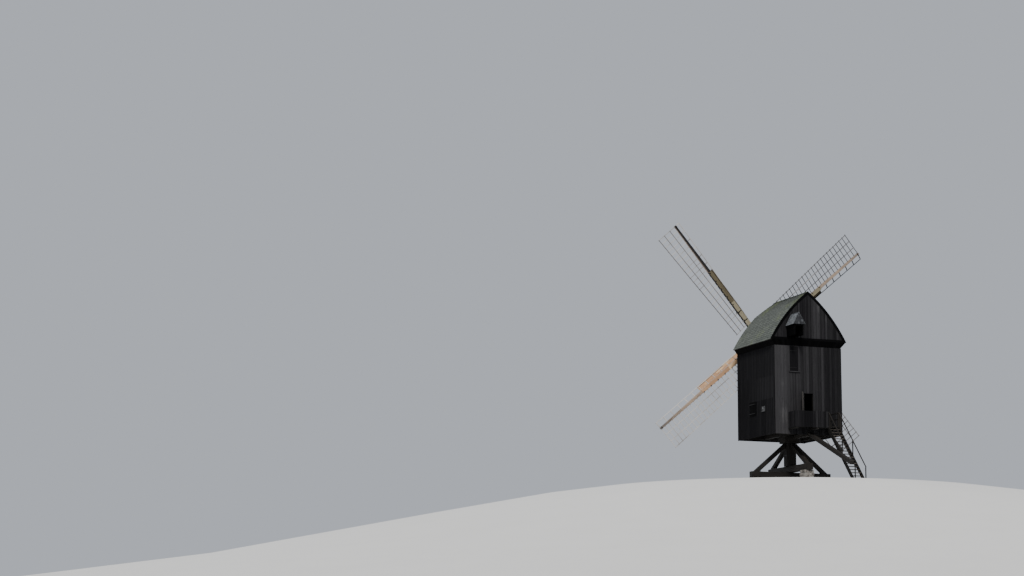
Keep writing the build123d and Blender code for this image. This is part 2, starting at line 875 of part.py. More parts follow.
with BuildPart() as shaft_beams:
    for y in (neck_y, tail_y):
        beam_top = plate_top + shaft_beam_height
        reach = min(inner_half_width, roof_reach(beam_top, roof_thickness) - beam_end_gap)
        add(block(-reach, reach, y - shaft_beam_width / 2, y + shaft_beam_width / 2, plate_top, beam_top))
save(shaft_beams, "shaft_beams")


def shaft_plane(distance):
    """A plane across the wind shaft, its normal pointing to the sails, at a distance behind the hub."""
    tilt = radians(shaft_tilt)
    hub_y = -half_length - hub_reach
    return Plane(
        origin=(0, hub_y + distance * cos(tilt), hub_level - distance * sin(tilt)),
        x_dir=(1, 0, 0),
        z_dir=(0, -cos(tilt), sin(tilt)),
    )


with BuildPart() as shaft_bearings:
    for y, radius in ((neck_y, neck_radius), (tail_y, tail_radius)):
        width = 2 * (radius + bearing_cheek)
        add(
            block(
                -width / 2,
                width / 2,
                y - shaft_beam_width / 2,
                y + shaft_beam_width / 2,
                plate_top + shaft_beam_height,
                bearing_top(y),
            )
        )
        distance = (y + half_length + hub_reach) / cos(radians(shaft_tilt))
        with BuildSketch(shaft_plane(distance - shaft_beam_width)):
            Circle(radius + bearing_gap)
        extrude(amount=-2 * shaft_beam_width, mode=Mode.SUBTRACT)
save(shaft_bearings, "shaft_bearings")

# Landing, stair and tail pole
with BuildPart() as landing_beams:
    centre = (deck_left + deck_right) / 2
    spacing = (deck_left - deck_right - deck_beam_width) / 2
    with BuildSketch(Plane.XY.offset(deck_top - deck_thickness - deck_beam_height)):
        with Locations((centre, half_length + deck_depth / 2)):
            with GridLocations(spacing, 0, 3, 1):
                Rectangle(deck_beam_width, deck_depth)
    extrude(amount=deck_beam_height)
save(landing_beams, "landing_beams")

with BuildPart() as landing_deck:
    add(block(deck_right, deck_left, half_length, deck_edge, deck_top - deck_thickness, deck_top))
save(landing_deck, "landing_deck")

stair_left = deck_right + stair_width
parapet_low = deck_top - parapet_drop
parapet_high = deck_top + parapet_height
with BuildPart() as landing_parapet:
    add(
        block(
            stair_left,
            deck_left + parapet_thickness,
            deck_edge,
            deck_edge + parapet_thickness,
            parapet_low,
            parapet_high,
        )
    )
    add(
        block(
            deck_left,
            deck_left + parapet_thickness,
            half_length,
            deck_edge - trim_gap,
            parapet_low,
            parapet_high,
        )
    )
save(landing_parapet, "landing_parapet")

with BuildPart() as landing_rail:
    with BuildSketch(Plane.XY.offset(deck_top)):
        with Locations(
            (deck_left - post_section / 2, deck_edge - post_section / 2),
            (deck_left - post_section / 2, half_length + post_section / 2),
            (stair_left + post_section / 2, deck_edge - post_section / 2),
            (deck_right + post_section / 2, deck_edge - post_section / 2),
            (deck_right + post_section / 2, half_length + post_section / 2),
        ):
            Rectangle(post_section, post_section)
    extrude(amount=parapet_height)
    rail_x = deck_right + post_section / 2
    for level in (parapet_high - rail_section, deck_top + parapet_height / 2):
        add(
            block(
                rail_x - rail_section / 2,
                rail_x + rail_section / 2,
                half_length + post_section + joint_gap,
                deck_edge - post_section - joint_gap,
                level - rail_section / 2,
                level + rail_section / 2,
            )
        )
save(landing_rail, "landing_rail")

stair_run = (deck_top - stair_lift) / tan(radians(stair_angle))
stair_foot = deck_edge + stair_run
string_centre = stair_left - stair_width / 2


def string_outline():
    """A stair string in the YZ plane, level on top against the landing and level at the foot."""
    rise = string_depth / cos(radians(stair_angle))
    slope = tan(radians(stair_angle))
    top = deck_top - deck_thickness
    return (
        (deck_edge, top + deck_thickness),
        (deck_edge, top + deck_thickness - rise),
        (stair_foot - rise / slope, stair_lift),
        (stair_foot, stair_lift),
    )


with BuildPart() as stair_strings:
    for side in (-1, 1):
        start = string_centre + side * stair_width / 2 - (string_thickness if side > 0 else 0)
        with BuildSketch(Plane.YZ.offset(start)):
            with BuildLine():
                Polyline(*string_outline(), close=True)
            make_face()
        extrude(amount=string_thickness)
save(stair_strings, "stair_strings")

with BuildPart() as stair_treads:
    rise = (deck_top - stair_lift) / (tread_count + 1)
    for number in range(1, tread_count + 1):
        level = deck_top - number * rise
        nose = deck_edge + tread_setback + number * rise / tan(radians(stair_angle))
        add(
            block(
                string_centre - stair_width / 2 + string_thickness,
                string_centre + stair_width / 2 - string_thickness,
                nose - tread_depth,
                nose,
                level - tread_thickness,
                level,
            )
        )
save(stair_treads, "stair_treads")

with BuildPart() as stair_rails:
    slope = tan(radians(stair_angle))
    rail_depth = rail_section / cos(radians(stair_angle))
    rail_start = deck_edge + parapet_thickness + rail_setback
    rail_end = stair_foot - rail_setback
    for side in (-1, 1):
        x = string_centre + side * (stair_width - string_thickness) / 2
        with BuildSketch(Plane.YZ.offset(x - rail_section / 2)):
            with BuildLine():
                ends = [(y, deck_top + rail_height - (y - deck_edge) * slope) for y in (rail_start, rail_end)]
                Polyline(*ends, *[(y, z + rail_depth) for y, z in reversed(ends)], close=True)
            make_face()
        extrude(amount=rail_section)
        for y in (rail_start + rail_section, (rail_start + rail_end) / 2, rail_end - rail_section):
            with BuildSketch(Plane.YZ.offset(x - string_thickness / 2)):
                with BuildLine():
                    sides = (y, y + rail_section)
                    low = [(b, deck_top - (b - deck_edge) * slope) for b in sides]
                    high = [(b, z + rail_height - rail_post_gap) for b, z in reversed(low)]
                    Polyline(*low, *high, close=True)
                make_face()
            extrude(amount=string_thickness)
save(stair_rails, "stair_rails")

with BuildPart() as tail_pole:
    with BuildSketch(Plane.XZ.offset(-pole_start)):
        with Locations((0, sill_bottom - pole_side / 2)):
            Rectangle(pole_side, pole_side)
    with BuildLine(Plane.YZ):
        Polyline(
            (pole_start, sill_bottom - pole_side / 2),
            (pole_bend, sill_bottom - pole_side / 2),
            (pole_end, pole_end_level),
        )
    sweep(transition=Transition.RIGHT)
save(tail_pole, "tail_pole")

# Wind shaft, poll head and the two stocks
stock_offset = (stock_root + stock_gap) / 2
poll_back = poll_length - poll_nose - stock_offset - stock_root / 2
neck_distance = (neck_y + half_length + hub_reach) / cos(radians(shaft_tilt))
tail_distance = (tail_y + half_length + hub_reach) / cos(radians(shaft_tilt))

with BuildPart() as wind_shaft:
    with BuildSketch(shaft_plane(poll_back)):
        RegularPolygon(shaft_radius, 8, rotation=22.5)
    extrude(amount=-(neck_distance - neck_length / 2 - poll_back))
    with BuildSketch(shaft_plane(neck_distance - neck_length / 2)):
        Circle(neck_radius)
    extrude(amount=-neck_length)
    with BuildSketch(shaft_plane(neck_distance + neck_length / 2)):
        RegularPolygon(shaft_radius, 8, rotation=22.5)
    extrude(amount=-(tail_distance - tail_length / 2 - neck_distance - neck_length / 2))
    with BuildSketch(shaft_plane(tail_distance - tail_length / 2)):
        Circle(tail_radius)
    extrude(amount=-tail_length - tail_reach)
save(wind_shaft, "wind_shaft")

stock_depths = (stock_offset, -stock_offset)


def stock(number):
    """A tapering timber through the poll head, with an arm on each side of the shaft."""
    turn = sail_angle + 90 * number
    centre = shaft_plane(-stock_depths[number])
    arm = Plane(
        origin=centre.origin,
        x_dir=centre.x_dir * cos(radians(turn)) + centre.y_dir * sin(radians(turn)),
        z_dir=centre.z_dir,
    )
    across = Plane(origin=arm.origin, x_dir=arm.y_dir, z_dir=arm.x_dir)
    with BuildPart() as timber:
        for direction in (1, -1):
            with BuildSketch(across):
                Rectangle(stock_root, stock_root)
            with BuildSketch(across.offset(direction * sail_radius)):
                Rectangle(stock_tip, stock_tip)
            loft()
    return timber.part


with BuildPart() as stocks:
    add(stock(0))
    add(stock(1))
save(stocks, "stocks")

with BuildPart() as poll_head:
    with BuildSketch(shaft_plane(poll_back)):
        Rectangle(poll_side, poll_side, rotation=sail_angle)
    extrude(amount=poll_length)
    nose_face = poll_head.faces().sort_by(Axis(shaft_plane(0).origin, shaft_plane(0).z_dir))[-1]
    chamfer(nose_face.edges(), length=poll_chamfer)
    add(stocks.part, mode=Mode.SUBTRACT)
save(poll_head, "poll_head")

# Sails: each bar has its own pitch, so the lattice and the leading boards twist from heel to tip
bar_radii = [sail_radius - tip_margin - number * bar_spacing for number in range(bar_count)]
heel_radius = bar_radii[-1]
tip_radius = bar_radii[0]


def outward(radius):
    return (radius - heel_radius) / (tip_radius - heel_radius)


def pitch(radius):
    return heel_pitch + (tip_pitch - heel_pitch) * outward(radius)


def trail_width(radius):
    return trail_width_heel + (trail_width_tip - trail_width_heel) * outward(radius)


def sail_plane(radius, angle):
    """A plane across the arm at a radius, its x axis at an angle to the sail's plane."""
    turn = radians(angle)
    return Plane(origin=(radius, 0, 0), x_dir=(0, cos(turn), sin(turn)), z_dir=(1, 0, 0))


def crossbar(radius, angle, length):
    with BuildPart() as bar:
        with BuildSketch(sail_plane(radius - bar_width / 2, angle)):
            Rectangle(length, bar_thickness, align=(Align.MIN, Align.CENTER))
        extrude(amount=bar_width)
    return bar.part


def twisted_strip(radii, angle_at, across_at, width, thickness, lift):
    """A strip along the sail through one section at each radius."""
    with BuildPart() as strip:
        for radius in radii:
            with BuildSketch(sail_plane(radius, angle_at(radius))):
                with Locations((across_at(radius), lift)):
                    Rectangle(width, thickness)
        loft(ruled=True)
    return strip.part


def trail_angle(radius):
    return 180 + pitch(radius)


def lead_angle(radius):
    return pitch(radius) + lead_extra_pitch


strip_radii = bar_radii[::5]
lath_lift = (bar_thickness + lath_thickness) / 2 - lath_bite
end_radii = [tip_radius + bar_width / 2] + list(strip_radii[1:-1]) + [heel_radius - bar_width / 2]

trail_pieces = [crossbar(radius, trail_angle(radius), trail_width(radius) + bar_tail) for radius in bar_radii]
for share in inner_lath_shares + (1.0,):
    trail_pieces.append(
        twisted_strip(
            end_radii,
            trail_angle,
            lambda radius, share=share: trail_width(radius) * share - lath_width / 2,
            lath_width,
            lath_thickness,
            lath_lift,
        )
    )

stub_radii = bar_radii[: 2 * stub_count : 2]
board_start = heel_radius - bar_width
board_end = stub_radii[open_stub_count - 1] - bar_spacing * (2 - board_bars_past)
lead_pieces = [crossbar(radius, lead_angle(radius), lead_width) for radius in stub_radii]
lead_pieces.append(
    twisted_strip(
        [tip_radius + bar_width / 2] + stub_radii[1:-1] + [stub_radii[-1] - bar_width / 2],
        lead_angle,
        lambda radius: lead_width - lath_width / 2,
        lath_width,
        lath_thickness,
        -lath_lift,
    )
)

side_slope = (stock_root - stock_tip) / 2 / sail_radius
trail_face = Plane(origin=(0, -stock_root / 2, 0), x_dir=(1, side_slope, 0), z_dir=(side_slope, -1, 0))
lead_face = Plane(origin=(0, stock_root / 2, 0), x_dir=(1, -side_slope, 0), z_dir=(side_slope, 1, 0))

with BuildPart() as trail_frame:
    add(trail_pieces)
    split(bisect_by=trail_face, keep=Keep.TOP)

with BuildPart() as lead_frame:
    add(lead_pieces)
    split(bisect_by=lead_face, keep=Keep.TOP)

board_lift = bar_thickness / 2 + board_gap + board_thickness / 2
boarded_stubs = [radius for radius in stub_radii if board_start < radius < board_end]
board_radii = [board_end] + boarded_stubs[::2] + [board_start]
with BuildPart() as lead_boards:
    add(
        twisted_strip(
            board_radii,
            lead_angle,
            lambda radius: lead_width / 2,
            lead_width + 2 * bar_tail,
            board_thickness,
            board_lift,
        )
    )
    split(bisect_by=lead_face, keep=Keep.TOP)

for number in range(4):
    turn = sail_angle + 90 * number
    centre = shaft_plane(-stock_depths[number % 2])
    arm = Plane(
        origin=centre.origin,
        x_dir=centre.x_dir * cos(radians(turn)) + centre.y_dir * sin(radians(turn)),
        z_dir=centre.z_dir,
    )
    with BuildPart() as lattice:
        with Locations(arm.location):
            add(trail_frame.part)
            add(lead_frame.part)
    save(lattice, f"lattice_{number + 1}")
    with BuildPart() as leading_boards:
        with Locations(arm.location):
            add(lead_boards.part)
    save(leading_boards, f"leading_boards_{number + 1}")
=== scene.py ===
import json
import random
from itertools import pairwise
from math import atan, atan2, ceil, copysign, cos, hypot, pi, radians, sin, sqrt, tan

import bmesh
import bpy
from mathutils import Matrix, Vector


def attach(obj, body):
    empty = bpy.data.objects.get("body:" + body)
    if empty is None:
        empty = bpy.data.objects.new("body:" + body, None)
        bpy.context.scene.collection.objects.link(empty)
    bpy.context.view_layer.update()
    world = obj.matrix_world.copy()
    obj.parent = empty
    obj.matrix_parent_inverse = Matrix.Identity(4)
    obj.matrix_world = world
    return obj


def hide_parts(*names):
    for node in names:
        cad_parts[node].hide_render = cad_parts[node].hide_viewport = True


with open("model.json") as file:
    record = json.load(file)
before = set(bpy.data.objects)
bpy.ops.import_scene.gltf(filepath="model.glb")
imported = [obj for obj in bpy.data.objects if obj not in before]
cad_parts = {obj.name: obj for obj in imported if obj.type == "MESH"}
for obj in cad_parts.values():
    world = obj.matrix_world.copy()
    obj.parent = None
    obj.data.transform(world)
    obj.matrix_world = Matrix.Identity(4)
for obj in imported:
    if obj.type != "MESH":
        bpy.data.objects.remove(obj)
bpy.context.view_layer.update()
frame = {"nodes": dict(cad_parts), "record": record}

chance = random.Random(1873)
X, Y, Z = Vector((1, 0, 0)), Vector((0, 1, 0)), Vector((0, 0, 1))

# What is left between a piece and the one behind it, in metres like all sizes here
SEAM = 0.0005

# The house, as the CAD source has it
HALF_WIDTH, HALF_LENGTH, WALL = 2.5, 2.825, 0.045
INNER_WIDTH, INNER_LENGTH = HALF_WIDTH - WALL, HALF_LENGTH - WALL
WALL_BOTTOM, FLOOR, UPPER_FLOOR, EAVES, RIDGE = 3.48, 4.05, 7.55, 9.8, 13.14
EAVE_REACH, ROOF_BULGE, ROOF_DEPTH = 2.81, 0.23, 0.08
ROOF_REAR, ROOF_FRONT = 3.005, -2.885
HIP_RISE, HIP_RUN, HIP_EAVE_REACH = 0.94, 0.98, 0.09
GABLE_BOARD, BAND_TOP, VERGE_RISE, VERGE_DEPTH, TRIM, SKIRT = 0.04, 9.95, 0.025, 0.06, 0.03, 0.33
HOOD_CENTRE, HOOD_HALF, HOOD_DEPTH, HOOD_BOTTOM, HOOD_EAVES = 1.285, 0.35, 1.16, 9.96, 10.7
HOOD_RISE, HOOD_HIP_RUN, HOOD_OVERHANG, HOOD_BOARD = 0.83, 0.06, 0.09, 0.03

# Openings: the two sides along the wall, bottom and top
DOOR = (-0.37, 0.29, FLOOR, 6.25)
HATCH = (0.705, 1.315, 7.7, 9.39)
WINDOW = (0.87, 1.33, 5.125, 5.455)
SHUTTER = (-1.005, 0.045, 4.9, 5.9)
SHAFT_HOLE = 0.35
LEAF, LEAF_LAP, LEAF_GAP = 0.04, 0.03, 0.006
HINGE_X, HINGE_Y, DOOR_OPEN = 0.355, 2.851, radians(123.5)

# Landing, stair and tail pole
DECK_LEFT, DECK_RIGHT, DECK_EDGE, DECK_TOP, PARAPET = 1.5, -1.68, 3.975, 3.98, 0.96
STAIR_LEFT, STAIR_WIDTH, STAIR_SLOPE = -0.85, 0.83, tan(radians(48))
STAIR_LIFT, TREADS, STRING_DEPTH = 0.045, 17, 0.26
POLE_HALF, POLE_LEVEL, POLE_START, POLE_BEND, POLE_END, POLE_END_LEVEL = 0.125, 3.495, 0.9, 2.96, 8.7, 1.15

# Trestle
FOOTING_TOP, PIER_TOP, PIER_HALF, PIER_CENTRE = 0.14, 0.72, 0.38, 2.45
BEAM_REACH, BEAM_WIDTH, BEAM_HEIGHT = 2.95, 0.42, 0.43
LOWER_BEAM_TOP, UPPER_BEAM_TOP = PIER_TOP + BEAM_HEIGHT, PIER_TOP + 2 * BEAM_HEIGHT
POST_HALF, POST_HOLE, SADDLE_BOTTOM = 0.35, 0.33, 3.132
QUARTER_HALF, QUARTER_FOOT, QUARTER_HEAD = 0.13, 2.56, 3.02

# Shaft and sails
SHAFT_TILT, SHAFT_RADIUS, SAIL_ANGLE, SAIL_RADIUS = radians(3), 0.27, 49, 10.11
HUB_REACH, HUB_LEVEL = 1.46, 10.9
HUB = Vector((0, -(HALF_LENGTH + HUB_REACH), HUB_LEVEL))
SHAFT_FORWARD = Vector((0, -cos(SHAFT_TILT), sin(SHAFT_TILT)))
SHAFT_UP = SHAFT_FORWARD.cross(X)
STOCK_ROOT, STOCK_TIP, STOCK_OFFSET, SPLICE = 0.3, 0.15, 0.17, 6.02
BAR_SPACING, BAR_COUNT, TIP_MARGIN, BAR_TAIL = 0.345, 26, 0.045, 0.035
BAR_HALF_WIDTH, BAR_HALF_DEPTH = 0.0225, 0.014
LATH_HALF_WIDTH, LATH_HALF_DEPTH, LATH_LIFT, BOARD_LIFT = 0.025, 0.011, 0.019, 0.0265
BAR_RADII = [SAIL_RADIUS - TIP_MARGIN - number * BAR_SPACING for number in range(BAR_COUNT)]
STUB_RADII = BAR_RADII[::2]
HEEL, TIP = BAR_RADII[-1], BAR_RADII[0]
HEEL_PITCH, TIP_PITCH, LEAD_PITCH = 20, 3, 18
HEEL_WIDTH, TIP_WIDTH, LEAD_WIDTH = 1.5, 1.7, 0.5
OPEN_STUBS, BARS_PAST = 5, 1.65


# Shader language

FINISHES = {}


class Term:
    """A number that changes over a surface. Arithmetic on it adds the Math nodes."""

    def __init__(self, finish, socket):
        self.finish = finish
        self.socket = socket

    def __add__(self, other):
        return self.finish.sum("ADD", self, other)

    def __sub__(self, other):
        return self.finish.sum("SUBTRACT", self, other)

    def __mul__(self, other):
        return self.finish.sum("MULTIPLY", self, other)


class Finish:
    def __init__(self, name):
        self.name = name
        self.material = bpy.data.materials.new(name)
        self.material.use_nodes = True
        self.tree = self.material.node_tree
        self.surface = self.tree.nodes["Principled BSDF"]

    def node(self, kind, settings=None, output=0, **values):
        """Adds a node: its settings first, then its inputs by name, with _ for a space, or by number."""
        made = self.tree.nodes.new(kind)
        for setting, value in (settings or {}).items():
            setattr(made, setting, value)
        for name, value in values.items():
            key = int(name[1:]) if name[0] == "_" else name.replace("_", " ")
            self.give(made.inputs[key], value)
        return Term(self, made.outputs[output])

    def give(self, socket, value):
        if isinstance(value, Term):
            self.tree.links.new(value.socket, socket)
        elif isinstance(value, tuple) and socket.type == "RGBA":
            socket.default_value = (*value, 1)
        else:
            socket.default_value = value

    def sum(self, operation, first, second):
        return self.node("ShaderNodeMath", {"operation": operation}, _0=first, _1=second)

    def clamp(self, value, low, high):
        """0 where value is at low, 1 where it is at high, smooth between."""
        settings = {"interpolation_type": "SMOOTHSTEP"}
        return self.node("ShaderNodeMapRange", settings, Value=value, From_Min=low, From_Max=high)

    def mix(self, share, first, second):
        """A colour between two colours."""
        settings = {"data_type": "RGBA", "clamp_factor": True}
        return self.node("ShaderNodeMix", settings, output=2, _0=share, _6=first, _7=second)

    def scaled(self, where, scale):
        return self.node("ShaderNodeVectorMath", {"operation": "MULTIPLY"}, _0=where, _1=scale)

    def grain(self, along, across):
        """Places along and across the timber, scaled for noise."""
        return self.scaled(self.node("ShaderNodeUVMap", {"uv_map": "grain"}), (along, across, 1.0))

    def place(self, *scale):
        """The place on the mill in metres, scaled for noise by one number or by one for each axis."""
        return self.scaled(self.node("ShaderNodeTexCoord", output=3), scale if len(scale) == 3 else scale * 3)

    def height(self):
        here = self.node("ShaderNodeTexCoord", output=3)
        return self.node("ShaderNodeSeparateXYZ", output=2, Vector=here)

    def noise(self, where, detail=4.0, roughness=0.55):
        return self.node("ShaderNodeTexNoise", Vector=where, Scale=1.0, Detail=detail, Roughness=roughness)

    def tone(self):
        """The tone of each timber, shingle, stone or pane: mostly its own, 0 to 1, and above 1 where it is bleached;
        in places it carries painted light and shade, as on a sail's lit side and a pane's painted reflection.
        """
        return self.node("ShaderNodeAttribute", {"attribute_name": "tone"}, output=2)

    def finish(self, colour, roughness, relief=None, relief_depth=0.002, metallic=0.0, specular=0.3):
        self.give(self.surface.inputs["Base Color"], colour)
        self.give(self.surface.inputs["Roughness"], roughness)
        self.give(self.surface.inputs["Metallic"], metallic)
        self.surface.inputs["Specular IOR Level"].default_value = specular
        if relief is not None:
            bump = self.node("ShaderNodeBump", Height=relief, Distance=relief_depth, Strength=1.0)
            self.give(self.surface.inputs["Normal"], bump)
        FINISHES[self.name] = self.material


def timber_finish(name, dark, light, worn, wear=0.2, axis=None, specular=0.2, cracks=0.5, depth=0.002):
    """Wood with its grain along the timber: fibres, a tone per timber, weathered patches and drying cracks."""
    f = Finish(name)

    def run(along, across):
        if axis is None:
            return f.grain(along, across)
        return f.place(*(along if letter == axis else across for letter in "xyz"))

    own = f.tone() if axis is None else 0.5
    fibres = f.noise(run(2.2, 70), detail=5, roughness=0.62)
    bands = f.noise(run(0.9, 16), detail=3)
    patches = f.noise(f.place(0.55, 0.55, 0.35), detail=5, roughness=0.6)
    splits = f.noise(run(1.1, 42), detail=2, roughness=0.4)
    crack = f.clamp(splits, 0.37, 0.31) * cracks
    shade = f.clamp(fibres * 0.3 + bands * 0.3 + own * 0.55, 0.2, 1.0)
    bleached = f.clamp(patches * 0.75 + own * 0.35 + fibres * 0.25, 1.02 - wear, 1.22 - wear)
    colour = f.mix(bleached, f.mix(shade, dark, light), worn)
    colour = f.mix(crack, colour, tuple(part * 0.25 for part in dark))
    relief = fibres * 0.5 + bands * 0.3 - crack * 1.2
    f.finish(colour, f.clamp(fibres, 0.2, 0.8) * 0.12 + 0.74, relief, depth, specular=specular)


def shingle_finish(name, dark, light, moss_share):
    """Split shingles gone grey, painted darker towards the ridge as shade, with moss in patches."""
    f = Finish(name)
    fibres = f.noise(f.grain(6, 90), detail=5, roughness=0.6)
    broad = f.noise(f.place(0.5, 0.5, 0.4), detail=5, roughness=0.6)
    fine = f.noise(f.place(7), detail=6, roughness=0.65)
    shade = f.clamp(fibres * 0.3 + f.tone() * 0.45 + broad * 0.4, 0.25, 0.95)
    grey = f.mix(shade, dark, light)
    # Painted shade: darker towards the ridge, taking out its highlight.
    ridge = f.clamp(f.height() + broad * 1.2, 12.5, 13.7)
    grey = f.mix(ridge * 0.75, grey, tuple(part * 0.5 for part in dark))
    moss = f.clamp(broad * 0.9 + fine * 0.5 + f.tone() * 0.12, 0.78, 0.94)
    colour = f.mix(moss * moss_share, grey, (0.105, 0.130, 0.055))
    relief = fibres * 0.5 + fine * 0.3 + moss * 1.2
    f.finish(colour, f.clamp(fine, 0.2, 0.8) * 0.1 + 0.82, relief, 0.003, specular=0.15)


def iron_finish(name, dark, rust, share):
    """Forged or cast iron, with rust in patches."""
    f = Finish(name)
    patches = f.noise(f.place(9), detail=6, roughness=0.65)
    fine = f.noise(f.place(160), detail=3)
    rusty = f.clamp(patches * 0.8 + fine * 0.3, 0.72 - share, 0.86 - share)
    colour = f.mix(rusty, dark, rust)
    f.finish(colour, rusty * 0.3 + 0.5, fine * 0.5 + patches * 0.5, 0.001, metallic=0.3, specular=0.2)


def stone_finish():
    """Field stones of mixed greys and browns, gritty, green with damp at the foot."""
    f = Finish("pier_masonry")
    grit = f.noise(f.place(45), detail=6, roughness=0.7)
    cloud = f.noise(f.place(5))
    shade = f.clamp(grit * 0.35 + cloud * 0.35 + f.tone() * 0.5, 0.25, 0.95)
    stone = f.mix(shade, (0.07, 0.063, 0.058), (0.21, 0.195, 0.18))
    damp = f.clamp(f.height() + cloud * 0.35, 0.42, 0.12)
    colour = f.mix(damp * 0.55, stone, (0.09, 0.10, 0.065))
    f.finish(colour, grit * 0.15 + 0.8, grit * 0.6 + cloud * 0.4, 0.006, specular=0.25)


def mortar_finish():
    f = Finish("lime_mortar")
    grit = f.noise(f.place(120), detail=5, roughness=0.7)
    cloud = f.noise(f.place(6))
    colour = f.mix(f.clamp(grit * 0.5 + cloud * 0.5, 0.3, 0.7), (0.12, 0.115, 0.105), (0.22, 0.215, 0.20))
    f.finish(colour, grit * 0.05 + 0.88, grit, 0.004, specular=0.2)


def paint_finish():
    """Old dark paint, flaked off to the wood in places."""
    f = Finish("window_wood")
    flakes = f.noise(f.grain(9, 30), detail=5, roughness=0.65)
    bare = f.clamp(flakes, 0.56, 0.64)
    colour = f.mix(bare, f.mix(f.tone(), (0.024, 0.025, 0.026), (0.055, 0.056, 0.055)), (0.02, 0.018, 0.017))
    f.finish(colour, bare * 0.3 + 0.45, flakes * 0.4 - bare * 0.6, 0.001, specular=0.4)


def glass_finish():
    """Rippled panes with a painted reflection, each as bright as its tone says, patchy with dust."""
    f = Finish("window_glass")
    ripple = f.noise(f.place(6), detail=2)
    dust = f.noise(f.place(40))
    # Painted reflection: a bright grey, patchy with dust, that the pane's tone mixes in over dark glass.
    glint_and_dust = f.mix(f.clamp(dust, 0.4, 0.7), (0.17, 0.18, 0.19), (0.30, 0.31, 0.32))
    colour = f.mix(f.tone(), (0.008, 0.009, 0.011), glint_and_dust)
    f.finish(colour, f.clamp(dust, 0.4, 0.8) * 0.2 + 0.05, ripple, 0.004, specular=0.5)


def make_finishes():
    """Timbers have a dark, a light and a worn colour. Oak that lies along an axis has its grain along it."""
    timber_finish("tarred_boards", (0.0048, 0.0047, 0.0056), (0.034, 0.0335, 0.0365), (0.068, 0.068, 0.071),
                  cracks=0.6, specular=0.06)
    # black_trim is near black, darker than any paint or tar: its own black with painted shade added, for the shade
    # under the eaves and in the hood.
    timber_finish("black_trim", (0.0010, 0.0010, 0.0012), (0.0030, 0.0030, 0.0034), (0.007, 0.007, 0.008), 0.05,
                  cracks=0.3, specular=0.03)
    # The oak's colours are its own tarred brown, darkened further as painted shade for the deep shade under and
    # around the house.
    for name, axis in (("frame_oak", None), ("upright_oak", "z"), ("cross_oak", "x"), ("long_oak", "y")):
        timber_finish(name, (0.0045, 0.0040, 0.0037), (0.019, 0.0165, 0.0145), (0.036, 0.033, 0.030), 0.25, axis,
                      cracks=0.9, depth=0.004)
    timber_finish("floor_boards", (0.022, 0.018, 0.015), (0.055, 0.046, 0.038), (0.09, 0.08, 0.07), 0.3, cracks=0.6)
    timber_finish("door_wood", (0.022, 0.020, 0.019), (0.055, 0.050, 0.048), (0.080, 0.076, 0.073), 0.3)
    timber_finish("sail_timber", (0.014, 0.013, 0.0135), (0.115, 0.100, 0.090), (0.29, 0.220, 0.168),
                  cracks=0.8, depth=0.003)
    timber_finish("sail_lattice", (0.018, 0.018, 0.021), (0.22, 0.21, 0.205), (0.42, 0.41, 0.40), 0.3,
                  cracks=0.4, depth=0.001)
    timber_finish("leading_boards", (0.060, 0.037, 0.022), (0.43, 0.262, 0.155), (0.66, 0.49, 0.30), cracks=0.4)
    timber_finish("weathered_boards", (0.050, 0.039, 0.020), (0.24, 0.215, 0.15), (0.45, 0.42, 0.33))
    shingle_finish("roof_covering", (0.058, 0.066, 0.060), (0.118, 0.130, 0.117), 0.55)
    shingle_finish("hood_covering", (0.018, 0.019, 0.022), (0.135, 0.145, 0.16), 0.1)
    iron_finish("wrought_iron", (0.008, 0.008, 0.0085), (0.040, 0.020, 0.012), 0.1)
    iron_finish("cast_iron_head", (0.030, 0.028, 0.027), (0.11, 0.052, 0.030), 0.2)
    stone_finish()
    mortar_finish()
    paint_finish()
    glass_finish()


# Timber work

def link_object(name, data):
    made = bpy.data.objects.new(name, data)
    bpy.context.collection.objects.link(made)
    return made


def split(low, high, count, gap=0.0):
    """Equal stretches from low to high, each drawn in by the gap at both ends."""
    step = (high - low) / count
    return [(low + step * k + gap, low + step * (k + 1) - gap) for k in range(count)]


def stations(start, end, parts):
    """Places from start to end, both included, that cut the way into equal parts."""
    return [start + (end - start) * step / parts for step in range(parts + 1)]


def turned(angle):
    """A turn about the post's axis, in degrees."""
    return Matrix.Rotation(radians(angle), 3, "Z")


def eased(half, depth, edge):
    """The eight corners of a rectangle with its edges taken off."""
    edge = min(edge, half * 0.45, depth * 0.45)
    return (
        (half - edge, depth), (edge - half, depth), (-half, depth - edge), (-half, edge - depth),
        (edge - half, -depth), (half - edge, -depth), (half, edge - depth), (half, depth - edge),
    )


